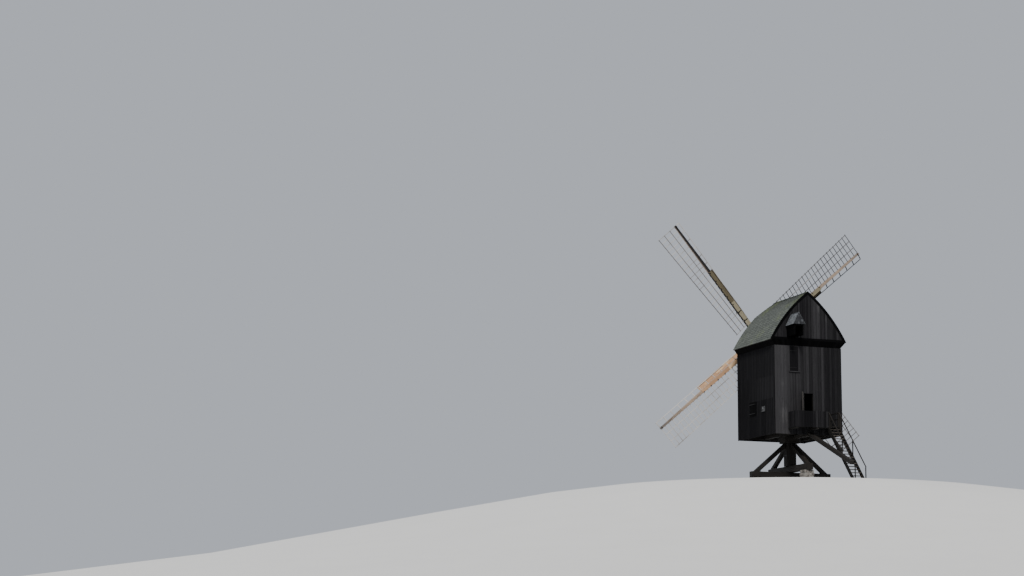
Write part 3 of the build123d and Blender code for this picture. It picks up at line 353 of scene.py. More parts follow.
class Joinery:
    """Timbers gathered into one mesh. Each has its grain along its length and a tone, mostly its own, in places
    painted light and shade.
    """

    def __init__(self):
        self.points = []
        self.faces = []
        self.grain = []
        self.tones = []

    def rings(self, rings, tone=None, lit_side_tone=None):
        """A closed solid through a row of rings with the same number of points each.

        The last argument gives the tone of the side after each ring's third point, where that side is painted light
        as if sunlit.
        """
        count = len(rings[0])
        first = len(self.points)
        u, v = chance.uniform(0, 40), chance.uniform(0, 40)
        shade = chance.random() if tone is None else tone
        girth = [v]
        for here, there in pairwise(rings[0] + rings[0][:1]):
            girth.append(girth[-1] + (there - here).length)
        run = [u]
        for ring, following in pairwise(rings):
            run.append(run[-1] + (following[0] - ring[0]).length)
        for ring in rings:
            self.points.extend(ring)
        for row in range(len(rings) - 1):
            for corner in range(count):
                after = (corner + 1) % count
                low = first + row * count
                high = low + count
                self.faces.append((low + corner, low + after, high + after, high + corner))
                self.grain.extend((
                    (run[row], girth[corner]), (run[row], girth[corner + 1]),
                    (run[row + 1], girth[corner + 1]), (run[row + 1], girth[corner]),
                ))
                self.tones.append(lit_side_tone if corner == 2 and lit_side_tone is not None else shade)
        last = first + (len(rings) - 1) * count
        for start, order in ((first, range(count - 1, -1, -1)), (last, range(count))):
            corners = [start + corner for corner in order]
            centre = sum((self.points[c] for c in corners), Vector()) / count
            side = (self.points[corners[0]] - centre).normalized()
            other = side.cross(self.points[corners[1]] - centre).normalized().cross(side)
            self.faces.append(tuple(corners))
            for c in corners:
                arm = self.points[c] - centre
                self.grain.append((u + arm.dot(side) * 0.3, v + arm.dot(other)))
            self.tones.append(shade * 0.8)

    def timber(self, start, end, width, depth, face=Z, edge=0.006, tone=None, rough=0.0, ends=None, parts=1):
        """A straight timber between two points. width lies across face, depth along it; ends is its far section."""
        start, end = Vector(start), Vector(end)
        along = (end - start).normalized()
        across = Vector(face).cross(along).normalized()
        up = along.cross(across).normalized()
        far_width, far_depth = ends or (width, depth)
        rings = []
        for share in stations(0, 1, parts):
            half = (width + (far_width - width) * share) / 2
            thick = (depth + (far_depth - depth) * share) / 2
            centre = start.lerp(end, share)
            ring = []
            for x, y in eased(half, thick, edge):
                take = 1 - chance.uniform(0, rough)
                ring.append(centre + across * x * take + up * y * take)
            rings.append(ring)
        self.rings(rings, tone)

    def band(self, middle, across, length, width, thick, out, edge=0.001):
        """A short flat iron: its middle, the way it runs, and the way it faces."""
        self.timber(middle - across * length / 2, middle + across * length / 2, width, thick, out, edge)

    def board(self, place, left, right, low, high, back, front, tone=None, edge=0.003):
        """A board from low to high: each is one height, or those at its left and right. place gives the points."""
        half, depth = (right - left) / 2, (front - back) / 2
        rings = []
        for heights in (low, high):
            at_left, at_right = heights if isinstance(heights, tuple) else (heights, heights)
            ring = []
            for u, w in eased(half, depth, edge):
                height = at_left + (at_right - at_left) * (u + half) / (2 * half)
                ring.append(place((left + right) / 2 + u, height, (back + front) / 2 + w))
            rings.append(ring)
        self.rings(rings, tone)

    def lump(self, centre, size, turn):
        """A rough stone, turned by some degrees: a block with rounded arrises and an uneven face."""
        first, turning = len(self.points), turned(turn)
        steps = (-1, -0.45, 0.45, 1)
        index = {}
        for x in steps:
            for y in steps:
                for z in steps:
                    if 1 in (abs(x), abs(y), abs(z)):
                        index[x, y, z] = first + len(index)
                        power = (abs(x) ** 7 + abs(y) ** 7 + abs(z) ** 7) ** (-1 / 7)
                        point = Vector((x * size[0], y * size[1], z * size[2])) * power / 2
                        point += Vector([chance.uniform(-0.035, 0.035) * min(size) for _ in "xyz"])
                        self.points.append(centre + turning @ point)
        shade = chance.random()
        for axis in range(3):
            for end in (-1, 1):
                for low, high in pairwise(steps):
                    for near, far in pairwise(steps):
                        square = [(low, near), (high, near), (high, far), (low, far)]
                        corners = [pair[:axis] + (end,) + pair[axis:] for pair in square]
                        self.faces.append(tuple(index[corner] for corner in corners))
                        self.grain.extend(square)
                        self.tones.append(shade)

    def piece(self, name, finish, *nodes, body="mill_house", slot=None, smooth=False):
        """The finished mesh, riding on its body in place of its CAD nodes."""
        mesh = bpy.data.meshes.new(name)
        mesh.from_pydata([tuple(point) for point in self.points], [], self.faces)
        mesh.uv_layers.new(name="grain").data.foreach_set("uv", [value for pair in self.grain for value in pair])
        mesh.attributes.new("tone", "FLOAT", "FACE").data.foreach_set("value", self.tones)
        work = bmesh.new()
        work.from_mesh(mesh)
        bmesh.ops.recalc_face_normals(work, faces=work.faces)
        work.to_mesh(mesh)
        work.free()
        if smooth:
            mesh.polygons.foreach_set("use_smooth", [True] * len(mesh.polygons))
        mesh.materials.append(FINISHES[finish])
        made = link_object(name, mesh)
        slot or finish
        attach(made, body)
        if nodes:
            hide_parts(*nodes)


def bolt(work, centre, out, radius=0.012, height=0.008):
    """A forged nail or bolt head, six-sided and a little domed."""
    centre, out = Vector(centre), Vector(out).normalized()
    side = out.orthogonal().normalized()
    other = out.cross(side)
    rings = []
    for size, lift in ((1.0, -0.004), (1.0, height * 0.5), (0.55, height)):
        rings.append([centre + out * lift + (side * cos(k * pi / 3) + other * sin(k * pi / 3))
                      * radius * size for k in range(6)])
    work.rings(rings)


def strap(work, start, end, out, width=0.05, thick=0.006, nails=4):
    """A flat iron strap with a rounded end, nailed on."""
    start, end, out = Vector(start), Vector(end), Vector(out).normalized()
    along = (end - start).normalized()
    across = out.cross(along)
    length = (end - start).length
    rings = []
    for share, half in ((0, 1.0), (0.72, 0.72), (0.93, 0.62), (0.97, 0.9), (1, 0.3)):
        rings.append([start + along * length * share + across * half * width / 2 * a + out * thick * b
                      for a, b in ((-1, 0), (1, 0), (1, 0.8), (0.8, 1), (-0.8, 1), (-1, 0.8))])
    work.rings(rings)
    for number in range(nails):
        share = 0.08 + 0.8 * number / (nails - 1)
        bolt(work, start + along * length * share + out * thick, out, 0.009, 0.005)


# Walls and gables

BOARD, STRIP, STRIP_DEPTH, SHAKE = 0.21, 0.052, 0.017, 0.0015
# A panel of newer boards near the rear of the left wall: its sides, bottom and top
PANEL = (0.05, 2.52, 5.9, 7.4)


def wall_place(along, outward, origin=Vector()):
    """Points on a wall: u along it, at a height, and out from the middle of the house or another place."""
    return lambda u, height, out: origin + along * u + Z * height + outward * out


REAR, FRONT, LEFT, RIGHT = (wall_place(*axes) for axes in ((X, Y), (X, -Y), (Y, X), (Y, -X)))


def open_spans(low, high, holes):
    """The heights between low and high that no hole takes."""
    spans = [(low, high)]
    for bottom, top in holes:
        parts = [part for a, b in spans for part in ((a, min(b, bottom)), (max(a, top), b))]
        spans = [part for part in parts if part[1] - part[0] > 0.02]
    return spans


def board_up(work, place, cuts, low, high, back, front, holes=(), joints=None, toning=None, width=BOARD):
    """Upright boards between the cuts, with a cover strip on each joint. Holes are (left, right, bottom, top).

    low, high and joints give the heights of a board's foot, head and joints from where it stands, and toning
    its tone from where it stands, its height and its own tone.
    """
    def raise_board(left, right, stands, breaks, back, front, own, gap=0.0):
        bottoms, tops = (low(left), low(right)), (high(left), high(right))
        for start, end in open_spans(min(bottoms), max(tops), breaks):
            feet = bottoms if start == min(bottoms) else start
            heads = tops if end == max(tops) else end
            tone = toning(stands, (start + end) / 2, own) if toning else own
            work.board(place, left + gap, right - gap, feet, heads, back, front, tone)

    edges = [cuts[0]]
    for left, right in pairwise(cuts):
        edges += [end for _, end in split(left, right, max(1, round((right - left) / width)))]
    face = front - STRIP_DEPTH
    for left, right in pairwise(edges):
        middle = (left + right) / 2
        breaks = [hole[2:] for hole in holes if hole[0] - 0.001 < middle < hole[1] + 0.001]
        breaks += [(height, height + 0.002) for height in (joints(middle) if joints else ())]
        own, slip = chance.uniform(0.1, 0.75), chance.uniform(0, 0.003)
        raise_board(left, right, middle, breaks, back, face - slip, own, SHAKE)
    for edge in edges[1:-1]:
        left, right = edge - STRIP / 2, edge + STRIP / 2
        breaks = [hole[2:] for hole in holes if hole[0] < right - 0.002 and hole[1] > left + 0.002]
        raise_board(left, right, edge, breaks, face, front - SEAM, chance.uniform(0.0, 0.6))


def level(height):
    """The same height all along."""
    return lambda u: height


def wandering(height, spread, pace, panels=()):
    """Joint heights that wander from board to board. A panel, (left, right, heights), has its own."""
    def joints(u):
        for left, right, heights in panels:
            if left < u < right:
                return heights
        return (height + spread * sin(u * pace),)
    return joints


def wall_tone_left(u, z, own):
    """Darker than the other walls and darker still below the panel, but lighter on the panel of newer boards."""
    left, right, low, high = PANEL
    if left < u < right and low < z < high:
        return own * 0.5 + 0.15
    return own * 0.5 - (0.4 if z < low else 0.1)


def wall_tone_rear(u, z, own):
    """Lighter towards the house's left corner, darkest at its right one."""
    if u > 1.44:
        return own * 0.5 + 0.85
    return own * 0.5 if u < -1.3 else own * 0.75 + 0.2


def gable_tone(u, z, own):
    """A pale stretch right of the middle."""
    if -0.93 < u < -0.36:
        return own * 0.5 + 0.6
    return own * (0.9 if u < 0.7 else 0.7)


def build_walls():
    def wall(name, place, cuts, outer, top, holes, joints, toning=None, parts=("",)):
        work = Joinery()
        board_up(work, place, cuts, level(WALL_BOTTOM), level(top), outer - WALL, outer, holes, joints, toning)
        work.piece(f"{name}_wall_boards", "tarred_boards", *(f"{name}_wall{part}" for part in parts))

    top = roof_level(HALF_WIDTH, ROOF_DEPTH)
    cuts = (-HALF_LENGTH, *SHUTTER[:2], *WINDOW[:2], HALF_LENGTH)
    panels = [(*PANEL[:2], PANEL[2:])]
    wall("left", LEFT, cuts, HALF_WIDTH, top, [WINDOW, SHUTTER], wandering(7.2, 0.5, 9, panels), wall_tone_left)
    wall("right", RIGHT, cuts, HALF_WIDTH, top, [WINDOW, SHUTTER], wandering(7.2, 0.5, 7))
    wall("front", FRONT, (-INNER_WIDTH, 0, INNER_WIDTH), HALF_LENGTH, EAVES, (), wandering(7.0, 0.6, 8))
    round_pole = POLE_HALF + 0.0003
    pole = (-round_pole, round_pole, WALL_BOTTOM, POLE_LEVEL + POLE_HALF)
    cuts = (-INNER_WIDTH, DOOR[0], *pole[:2], DOOR[1], *HATCH[:2], INNER_WIDTH)
    panels = [(*DOOR[:2], ()), (*HATCH[:2], ())]
    wall("rear", REAR, cuts, HALF_LENGTH, EAVES, [DOOR, HATCH, pole], wandering(6.9, 0.5, 11, panels),
         wall_tone_rear, ("_left", "_right", "_middle"))

    corners = Joinery()
    joint, top = 6.6, 9.42
    for place in (LEFT, RIGHT):
        for a, b in ((-HALF_LENGTH, -HALF_LENGTH + 0.19), (HALF_LENGTH - 0.17, HALF_LENGTH + 0.002)):
            for low, high in ((WALL_BOTTOM - 0.01, joint), (joint + 0.002, top)):
                corners.board(place, a, b, low, high, HALF_WIDTH, HALF_WIDTH + TRIM, 0.1)
    corners.piece("corner_boards", "tarred_boards")


def build_gables():
    rear = Joinery()
    hood = HOOD_HALF - HOOD_BOARD
    hole = (HOOD_CENTRE - hood, HOOD_CENTRE + hood, HOOD_BOTTOM, HOOD_EAVES)
    reach = roof_reach(EAVES, ROOF_DEPTH)
    board_up(rear, REAR, (-reach, 0, *hole[:2], reach), level(EAVES),
             lambda u: roof_level(u, ROOF_DEPTH) if abs(u) < reach - 0.001 else EAVES + 0.01,
             ROOF_REAR - GABLE_BOARD, ROOF_REAR, [hole], toning=gable_tone)
    rear.piece("rear_gable_boards", "tarred_boards", "rear_gable")

    front = Joinery()
    shaft_level = HUB_LEVEL - HUB_REACH * tan(SHAFT_TILT)
    hole = (-SHAFT_HOLE, SHAFT_HOLE, shaft_level - SHAFT_HOLE, shaft_level + SHAFT_HOLE)
    seat = RIDGE - HIP_SLOPE * (HIP_TOP + HALF_LENGTH) - HIP_SEAT
    board_up(front, FRONT, (-INNER_WIDTH, *hole[:2], INNER_WIDTH), level(EAVES),
             lambda u: min(roof_level(u, ROOF_DEPTH), seat), HALF_LENGTH - GABLE_BOARD, HALF_LENGTH, [hole])
    front.piece("front_gable_boards", "tarred_boards", "front_gable")

    trim = Joinery()
    back, face = ROOF_REAR + SEAM, ROOF_REAR + TRIM - SEAM
    verge = ROOF_DEPTH + VERGE_DEPTH
    peaks = roof_level(0, -VERGE_RISE), roof_level(0, verge)
    for side in (-1, 1):
        rings = []
        for high, low in zip(*(stations(BAND_TOP, peak, 24) for peak in peaks)):
            outer, inner = (max(roof_reach(*at), SEAM) * side for at in ((high, -VERGE_RISE), (low, verge)))
            corners = ((outer, back, high), (outer, face, high), (inner, face, low), (inner, back, low))
            rings.append([Vector(corner) for corner in corners])
        for start, end in ((0, 9), (9, 17), (17, 24)):
            trim.rings(rings[start:end + 1], chance.uniform(0.1, 0.9))
    for low, high in ((EAVES, EAVES + 0.124), (EAVES + 0.126, BAND_TOP - SEAM)):
        corners = ((low, back), (high, back), (high, face), (low, face))
        right, left = ([Vector((side * roof_reach(z, -VERGE_RISE), y, z)) for z, y in corners] for side in (-1, 1))
        joint = chance.uniform(-0.78, 0.0)
        middle = [Vector((joint, y, z)) for z, y in corners]
        for rings in ((right, middle), (middle, left)):
            trim.rings(rings, chance.uniform(0.1, 0.9))
    trim.piece("barge_boards", "black_trim", "gable_trim")


def build_skirt():
    """Slanted black boards from the wall out to the roof's lower edge."""
    work = Joinery()
    eave_reach = ARC_X + (ROOF_RADIUS - ROOF_DEPTH) * cos(EAVE_TURN)
    eave_level = ARC_Z + (ROOF_RADIUS - ROOF_DEPTH) * sin(EAVE_TURN)
    bottom, top, rear_top = eave_level - SKIRT, eave_level - 0.002, ROOF_REAR + TRIM
    side_boards, rear_boards, thick = 28, 24, 0.028

    def slanted(low_a, low_b, high_a, high_b, inward):
        edges = ((Vector(low_a), Vector(low_b)), (Vector(high_a), Vector(high_b)))
        work.rings([[a, b, b + inward, a + inward] for a, b in edges])

    corner = HALF_LENGTH + (rear_top - HALF_LENGTH) * (top - bottom) / (EAVES - bottom)
    for side in (-1, 1):
        foot, head = side * HALF_WIDTH, side * (eave_reach - 0.002)
        boards = split(-HALF_LENGTH, HALF_LENGTH, side_boards, 0.001)
        for a, b in boards:
            far = corner if (a, b) == boards[-1] else b
            slanted((foot, a, bottom), (foot, b, bottom), (head, a, top), (head, far, top), X * -side * thick)
    for a, b in split(-1, 1, rear_boards):
        (low_a, high_a), (low_b, high_b) = (
            (end * HALF_WIDTH + gap, end * (eave_reach - 0.01) + gap) for end, gap in ((a, 0.001), (b, -0.001))
        )
        slanted((low_a, HALF_LENGTH, bottom), (low_b, HALF_LENGTH, bottom),
                (high_a, rear_top, EAVES), (high_b, rear_top, EAVES), Y * -thick)
    outline = ((HALF_WIDTH, bottom), (eave_reach, eave_level), (HALF_WIDTH, roof_level(HALF_WIDTH, ROOF_DEPTH)))
    for side in (-1, 1):
        work.rings([[Vector((side * x, y, z)) for x, z in outline] for y in (-HALF_LENGTH, -HALF_LENGTH + TRIM)])
    work.piece("eaves_boards", "black_trim", "eaves_skirt")


# Roof and hood. The roof's slopes are arcs from the eaves to the ridge.

CHORD = hypot(EAVE_REACH, RIDGE - EAVES)
ROOF_RADIUS = (CHORD ** 2 / 4 + ROOF_BULGE ** 2) / (2 * ROOF_BULGE)
ARC_X = EAVE_REACH / 2 - (RIDGE - EAVES) / CHORD * (ROOF_RADIUS - ROOF_BULGE)
ARC_Z = (EAVES + RIDGE) / 2 - EAVE_REACH / CHORD * (ROOF_RADIUS - ROOF_BULGE)
EAVE_TURN = atan2(EAVES - ARC_Z, EAVE_REACH - ARC_X)
RIDGE_TURN = atan2(RIDGE - ARC_Z, -ARC_X)
ROOF_RUN = ROOF_RADIUS * (RIDGE_TURN - EAVE_TURN)
HIP_TOP = ROOF_FRONT + HIP_RUN
HIP_SLOPE = HIP_RISE / HIP_RUN
HIP_SEAT = ROOF_DEPTH / cos(atan(HIP_SLOPE))
FIRST_COURSE = -0.015


def roof_level(x, depth=0.0):
    return ARC_Z + sqrt((ROOF_RADIUS - depth) ** 2 - (abs(x) - ARC_X) ** 2)


def roof_reach(z, depth=0.0):
    return ARC_X + sqrt((ROOF_RADIUS - depth) ** 2 - (z - ARC_Z) ** 2)


def slope_place(side):
    """A point on one roof slope: s up the slope from the eave, t along the ridge, lifted off the surface."""
    def place(s, t, lift):
        turn, radius = EAVE_TURN + s / ROOF_RADIUS, ROOF_RADIUS + lift
        return Vector((side * (ARC_X + radius * cos(turn)), t, ARC_Z + radius * sin(turn)))
    return place


def slope_limits(s):
    """Where a course on a roof slope starts and ends, with the hip taken off."""
    height = slope_place(1)(s, 0, 0).z
    return max(ROOF_FRONT, HIP_TOP - (RIDGE - height) / HIP_SLOPE), ROOF_REAR


def flat_place(foot, head, along):
    """A point on a flat slope: s up it from its foot, t along it, lifted off the surface."""
    rise = (head - foot).normalized()
    out = along.cross(rise)
    out *= copysign(1, out.z)
    return lambda s, t, lift: foot + rise * s + along * t + out * lift


def lay_shingles(work, place, run, limits, exposure=0.19, width=0.16, depth=0.02, shift=0.0):
    """Courses of split shingles, each lapped by the next, joints broken from course to course."""
    for number in range(ceil((run - FIRST_COURSE) / exposure)):
        low = FIRST_COURSE + number * exposure
        high = min(low + exposure * 1.25, run)
        near, far = limits(max(low, 0))
        if far - near < 0.02:
            continue
        count = max(1, round((far - near) / width))
        marks = [near + (far - near) * (k + (0 if k in (0, count) else chance.uniform(-0.22, 0.22))) / count
                 for k in range(count + 1)]
        if number % 2 and count > 2:
            marks = [near] + [(a + b) / 2 for a, b in pairwise(marks)] + [far]
        course_tone = chance.uniform(-0.08, 0.08)
        top_near, top_far = limits(high)
        for a, b in pairwise(marks):
            butt = low + chance.uniform(-0.012, 0.012)
            a_high, b_high = (min(max(edge, top_near), top_far) for edge in (a, b))
            raised = chance.uniform(0.0, 0.005)
            rings = []
            for s, left, right, lift in ((butt, a, b, raised), (high, a_high, b_high, 0.004 - depth)):
                left, right = left + 0.0015, max(right - 0.0015, left + 0.002)
                rings.append([place(s, left, lift), place(s, right, lift),
                              place(s, right, lift - depth), place(s, left, lift - depth)])
            # A shift above 0 is painted light, below 0 painted shade, on all the shingles laid.
            work.rings(rings, chance.uniform(0.15, 0.85) + course_tone + shift)


def lay_sheathing(work, place, run, limits, top=-0.045, bottom=-0.079, width=0.19):
    """Boards under the shingles, along the courses."""
    for low, high in split(0, run, ceil(run / width)):
        high -= 0.002
        if limits(low)[1] - limits(low)[0] > 0.05:
            corners = ((low, bottom), (high, bottom), (high, top), (low, top))
            work.rings([[place(s, limits(s)[end], lift) for s, lift in corners] for end in (0, 1)])


def build_roof():
    def cover(name, place, run, limits, short):
        shingles, sheathing = Joinery(), Joinery()
        lay_shingles(shingles, place, run, limits)
        lay_sheathing(sheathing, place, run - short, limits)
        shingles.piece(f"shingles_{name}", "roof_covering", f"roof_{name}")
        sheathing.piece(f"sheathing_{name}", "frame_oak")

    for name, side in (("left", 1), ("right", -1)):
        cover(name, slope_place(side), ROOF_RUN, slope_limits, 0.01)
    foot = Vector((0, ROOF_FRONT - HIP_EAVE_REACH, RIDGE - HIP_SLOPE * (HIP_RUN + HIP_EAVE_REACH)))
    head = Vector((0, HIP_TOP, RIDGE))
    hip_place = flat_place(foot, head, X)

    def hip_limits(s):
        reach = max(roof_reach(min(hip_place(s, 0, 0).z, RIDGE - 0.001)), 0.0)
        return -reach, reach

    cover("hip", hip_place, (head - foot).length, hip_limits, 0.12)

    ridge = Joinery()
    # How far down the slope from the ridge, and how far off the slope
    profile = ((0, 0.0), (0.14, 0.003), (0.145, 0.008), (0.14, 0.026), (0, 0.025))
    for side in (-1, 1):
        place = slope_place(side)
        for a, b in pairwise((HIP_TOP - 0.05, -0.2 + 0.15 * side, 1.5 + 0.2 * side, ROOF_REAR - 0.001)):
            rings = [[place(ROOF_RUN - down, t, lift) for down, lift in profile] for t in (a + 0.001, b - 0.001)]
            ridge.rings(rings, chance.uniform(0.2, 0.5))
    ridge.piece("ridge_boards", "roof_covering", "ridge_cap")


def build_hood():
    """Hoist hood: boarded cheeks, a front frame, and shingles on its two slopes and its small hip."""
    cheeks = Joinery()
    face = ROOF_REAR + HOOD_DEPTH
    post = 0.08
    frame_y = face - post / 2 - 0.005
    for side in (-1, 1):
        inner = HOOD_CENTRE + side * (HOOD_HALF - HOOD_BOARD)
        board_up(cheeks, wall_place(Y, X * side, X * inner), (ROOF_REAR + 0.001, face), level(HOOD_BOTTOM),
                 level(HOOD_EAVES - 0.001), 0.0, HOOD_BOARD, width=0.2)
        x = inner - side * post / 2
        cheeks.timber((x, frame_y, HOOD_BOTTOM + 0.02), (x, frame_y, HOOD_EAVES - 0.11), post, post, X)
    reach, z = HOOD_HALF - 0.035, HOOD_EAVES - 0.06
    cheeks.timber((HOOD_CENTRE - reach, frame_y, z), (HOOD_CENTRE + reach, frame_y, z), post, 0.1)
    cheeks.piece("hood_boards", "black_trim", "hood_cheeks")

    shingles, sheathing = Joinery(), Joinery()
    half, end = HOOD_HALF + HOOD_OVERHANG, face + HOOD_OVERHANG
    peak = Vector((HOOD_CENTRE, 0, HOOD_EAVES + HOOD_RISE))

    def cover(foot, head, along, limits, short, shift):
        """short is how far below the slope's head the shingles and the sheathing end. shift is painted light and
        shade on the shingles' tone: lighter on the side slopes, darker on the front hip.
        """
        place, run = flat_place(foot, head, along), (head - foot).length
        lay_shingles(shingles, place, run - short[0], lambda s: limits(s / run), 0.17, 0.14, 0.014, shift)
        lay_sheathing(sheathing, place, run - short[1], lambda s: limits(s / run), -0.026, -0.045, 0.17)

    for side in (-1, 1):
        cover(Vector((HOOD_CENTRE + side * half, 0, HOOD_EAVES)), peak, Y,
              lambda share: (ROOF_REAR + TRIM + 0.001, end - HOOD_HIP_RUN * share), (0, 0.02), 0.25)
    cover(Vector((HOOD_CENTRE, end, HOOD_EAVES)), peak + Y * (end - HOOD_HIP_RUN), X,
          lambda share: (-half * (1 - share), half * (1 - share)), (0.01, 0.1), -0.35)
    shingles.piece("hood_shingles", "hood_covering", "hood_roof", slot="roof_covering")
    sheathing.piece("hood_sheathing", "frame_oak")


# Door, hatch, windows and shutters

def build_door():
    """The leaf is made closed and swung open on its hinge, as in the CAD."""
    wood, iron = Joinery(), Joinery()
    right, left = DOOR[0] - LEAF_LAP, DOOR[1] + LEAF_LAP
    inner, low, high = HALF_LENGTH + LEAF_GAP, FLOOR + 0.025, DOOR[3] + LEAF_LAP
    outer = inner + LEAF
    for a, b in split(right, left, 4, 0.0015):
        top = high - chance.uniform(0, 0.006)
        wood.board(REAR, a, b, low, top, inner, outer, chance.uniform(0.3, 1.1))
    ledge_right, ledge_left = DOOR[0] + 0.06, DOOR[1] - 0.06
    ledges, thick, deep = (low + 0.3, high - 0.44), 0.025, 0.14
    for foot in ledges:
        y, z = inner - thick / 2, foot + deep / 2
        wood.timber((ledge_right, y, z), (ledge_left, y, z), thick, deep)
    y = inner - 0.012
    wood.timber((ledge_left - 0.07, y, ledges[0] + deep + 0.005), (ledge_right + 0.07, y, ledges[1] - 0.005),
                0.1, 0.024, Y)
    for z in (low + 0.37, high - 0.37):
        strap(iron, (left - 0.01, outer, z), (right + 0.12, outer, z), Y, 0.055, nails=5)
        iron.timber((HINGE_X, HINGE_Y, z - 0.045), (HINGE_X, HINGE_Y, z + 0.045), 0.036, 0.036, X, 0.009)
        iron.timber((HINGE_X - 0.01, HINGE_Y + 0.012, z), (left - 0.02, HINGE_Y + 0.0225, z), 0.05, 0.008, Y, 0.001)
    handle = [Vector((right + 0.07, outer + out, low + height)) for out, height in
              ((0.0, 0.98), (0.035, 1.0), (0.045, 1.05), (0.035, 1.1), (0.0, 1.12))]
    for a, b in pairwise(handle):
        iron.timber(a, b, 0.014, 0.014, X, 0.004)
    iron.timber((right + 0.03, outer + 0.006, low + 1.2), (right + 0.16, outer + 0.006, low + 1.2),
                0.035, 0.01, Y, 0.002)
    for z in (ledge + rise for ledge in ledges for rise in (0.035, 0.105)):
        for a, b in split(right, left, 4):
            bolt(iron, ((a + b) / 2, outer, z), Y, 0.008, 0.003)
    hinge = Matrix.Translation((HINGE_X, HINGE_Y, 0))
    swing = hinge @ Matrix.Rotation(-DOOR_OPEN, 4, "Z") @ hinge.inverted()
    for work in (wood, iron):
        work.points = [swing @ point for point in work.points]
    wood.piece("door_boards", "door_wood", "door_leaf", body="door")
    iron.piece("door_ironwork", "wrought_iron", body="door")

    jambs = Joinery()
    y, head = INNER_LENGTH - 0.10025, DOOR[3] + 0.0555
    for x in (DOOR[1] + 0.055, DOOR[0] - 0.055):
        jambs.timber((x, y, FLOOR), (x, y, DOOR[3]), 0.2, 0.11, X, rough=0.01, parts=6)
    jambs.timber((DOOR[0] - 0.11, y, head), (DOOR[1] + 0.11, y, head), 0.2, 0.109, rough=0.01, parts=3)
    jambs.piece("door_frame_timbers", "frame_oak", "door_frame")


def build_hatch():
    door, sill, iron = Joinery(), Joinery(), Joinery()
    left, right, low, high = HATCH
    face = HALF_LENGTH - LEAF_GAP
    for a, b in split(left + 0.004, right - 0.004, 3, 0.001):
        door.board(REAR, a, b, low, high - 0.004, HALF_LENGTH - 0.034, face, chance.uniform(-0.5, -0.1))
    for z in (low + 0.25, high - 0.3):
        strap(iron, (right - 0.004, face, z), (left + 0.104, face, z), Y)
    y, z = HALF_LENGTH + 0.045, low - 0.03
    sill.timber((left - 0.09, y, z), (right + 0.09, y, z), 0.09, 0.058, Z, 0.01, 0.95, 0.02, parts=4)
    door.piece("hatch_boards", "tarred_boards", "sack_hatch", slot="black_trim")
    sill.piece("hatch_sill", "tarred_boards", slot="door_wood")
    iron.piece("hatch_straps", "wrought_iron")


def build_windows():
    wood, glass, doors, iron = Joinery(), Joinery(), Joinery(), Joinery()
    left, right, low, high = WINDOW
    middle, centre = (left + right) / 2, (low + high) / 2
    rail = 0.055
    half = rail / 2
    a, b = left + rail, right - rail
    # Left, right, bottom, top, and how far in from the frame's face
    bars = (
        (left, a, low, high, 0), (b, right, low, high, 0), (a, b, low, low + rail, 0), (a, b, high - rail, high, 0),
        (middle - half, middle + half, low + rail, high - rail, 0.004),
        (a, middle - half, centre - 0.009, centre + 0.009, 0.012),
        (middle + half, b, centre - 0.009, centre + 0.009, 0.012),
    )
    # Left, right, bottom, top, and tone: how much painted reflection the pane shows
    panes = ((left + 0.03, middle, centre, high - 0.03, 1.0), (left + 0.03, middle, low + 0.03, centre, 0.15),
             (middle, right - 0.03, centre, high - 0.03, 0.0), (middle, right - 0.03, low + 0.03, centre, 0.2))
    shut_left, shut_right, foot, head = SHUTTER[0] + 0.004, SHUTTER[1] - 0.004, SHUTTER[2], SHUTTER[3] - 0.004
    for place in (LEFT, RIGHT):
        for *sides, inset in bars:
            wood.board(place, *sides, INNER_WIDTH + SEAM + inset, HALF_WIDTH - 0.001 - inset)
        for a, b, bottom, top, tone in panes:
            glass.board(place, a + SEAM, b - SEAM, bottom, top, INNER_WIDTH + 0.014, INNER_WIDTH + 0.02, tone, 0.0)
        wood.board(place, left - 0.04, right + 0.04, low - 0.028, low - 0.001, HALF_WIDTH - 0.001, HALF_WIDTH + 0.035)
        for a, b in split(shut_left, shut_right, 5, 0.001):
            doors.board(place, a, b, foot, head, HALF_WIDTH - 0.034, HALF_WIDTH - 0.012)
        inner, outer = HALF_WIDTH - 0.012, HALF_WIDTH + 0.004
        for z in (foot + 0.16, head - 0.2):
            doors.board(place, shut_left + 0.03, shut_right - 0.03, z, z + 0.09, inner, outer)
            start, end = (place(u, z + 0.045, outer) for u in (shut_left, shut_right - 0.2))
            strap(iron, start, end, place(0, 0, 1), 0.045, 0.005, 5)
    wood.piece("window_frames", "window_wood", "side_windows")
    glass.piece("window_panes", "window_glass", slot="window_wood")
    doors.piece("shutter_boards", "black_trim", "side_shutters")
    iron.piece("shutter_straps", "wrought_iron")


# Landing, stair and tail pole

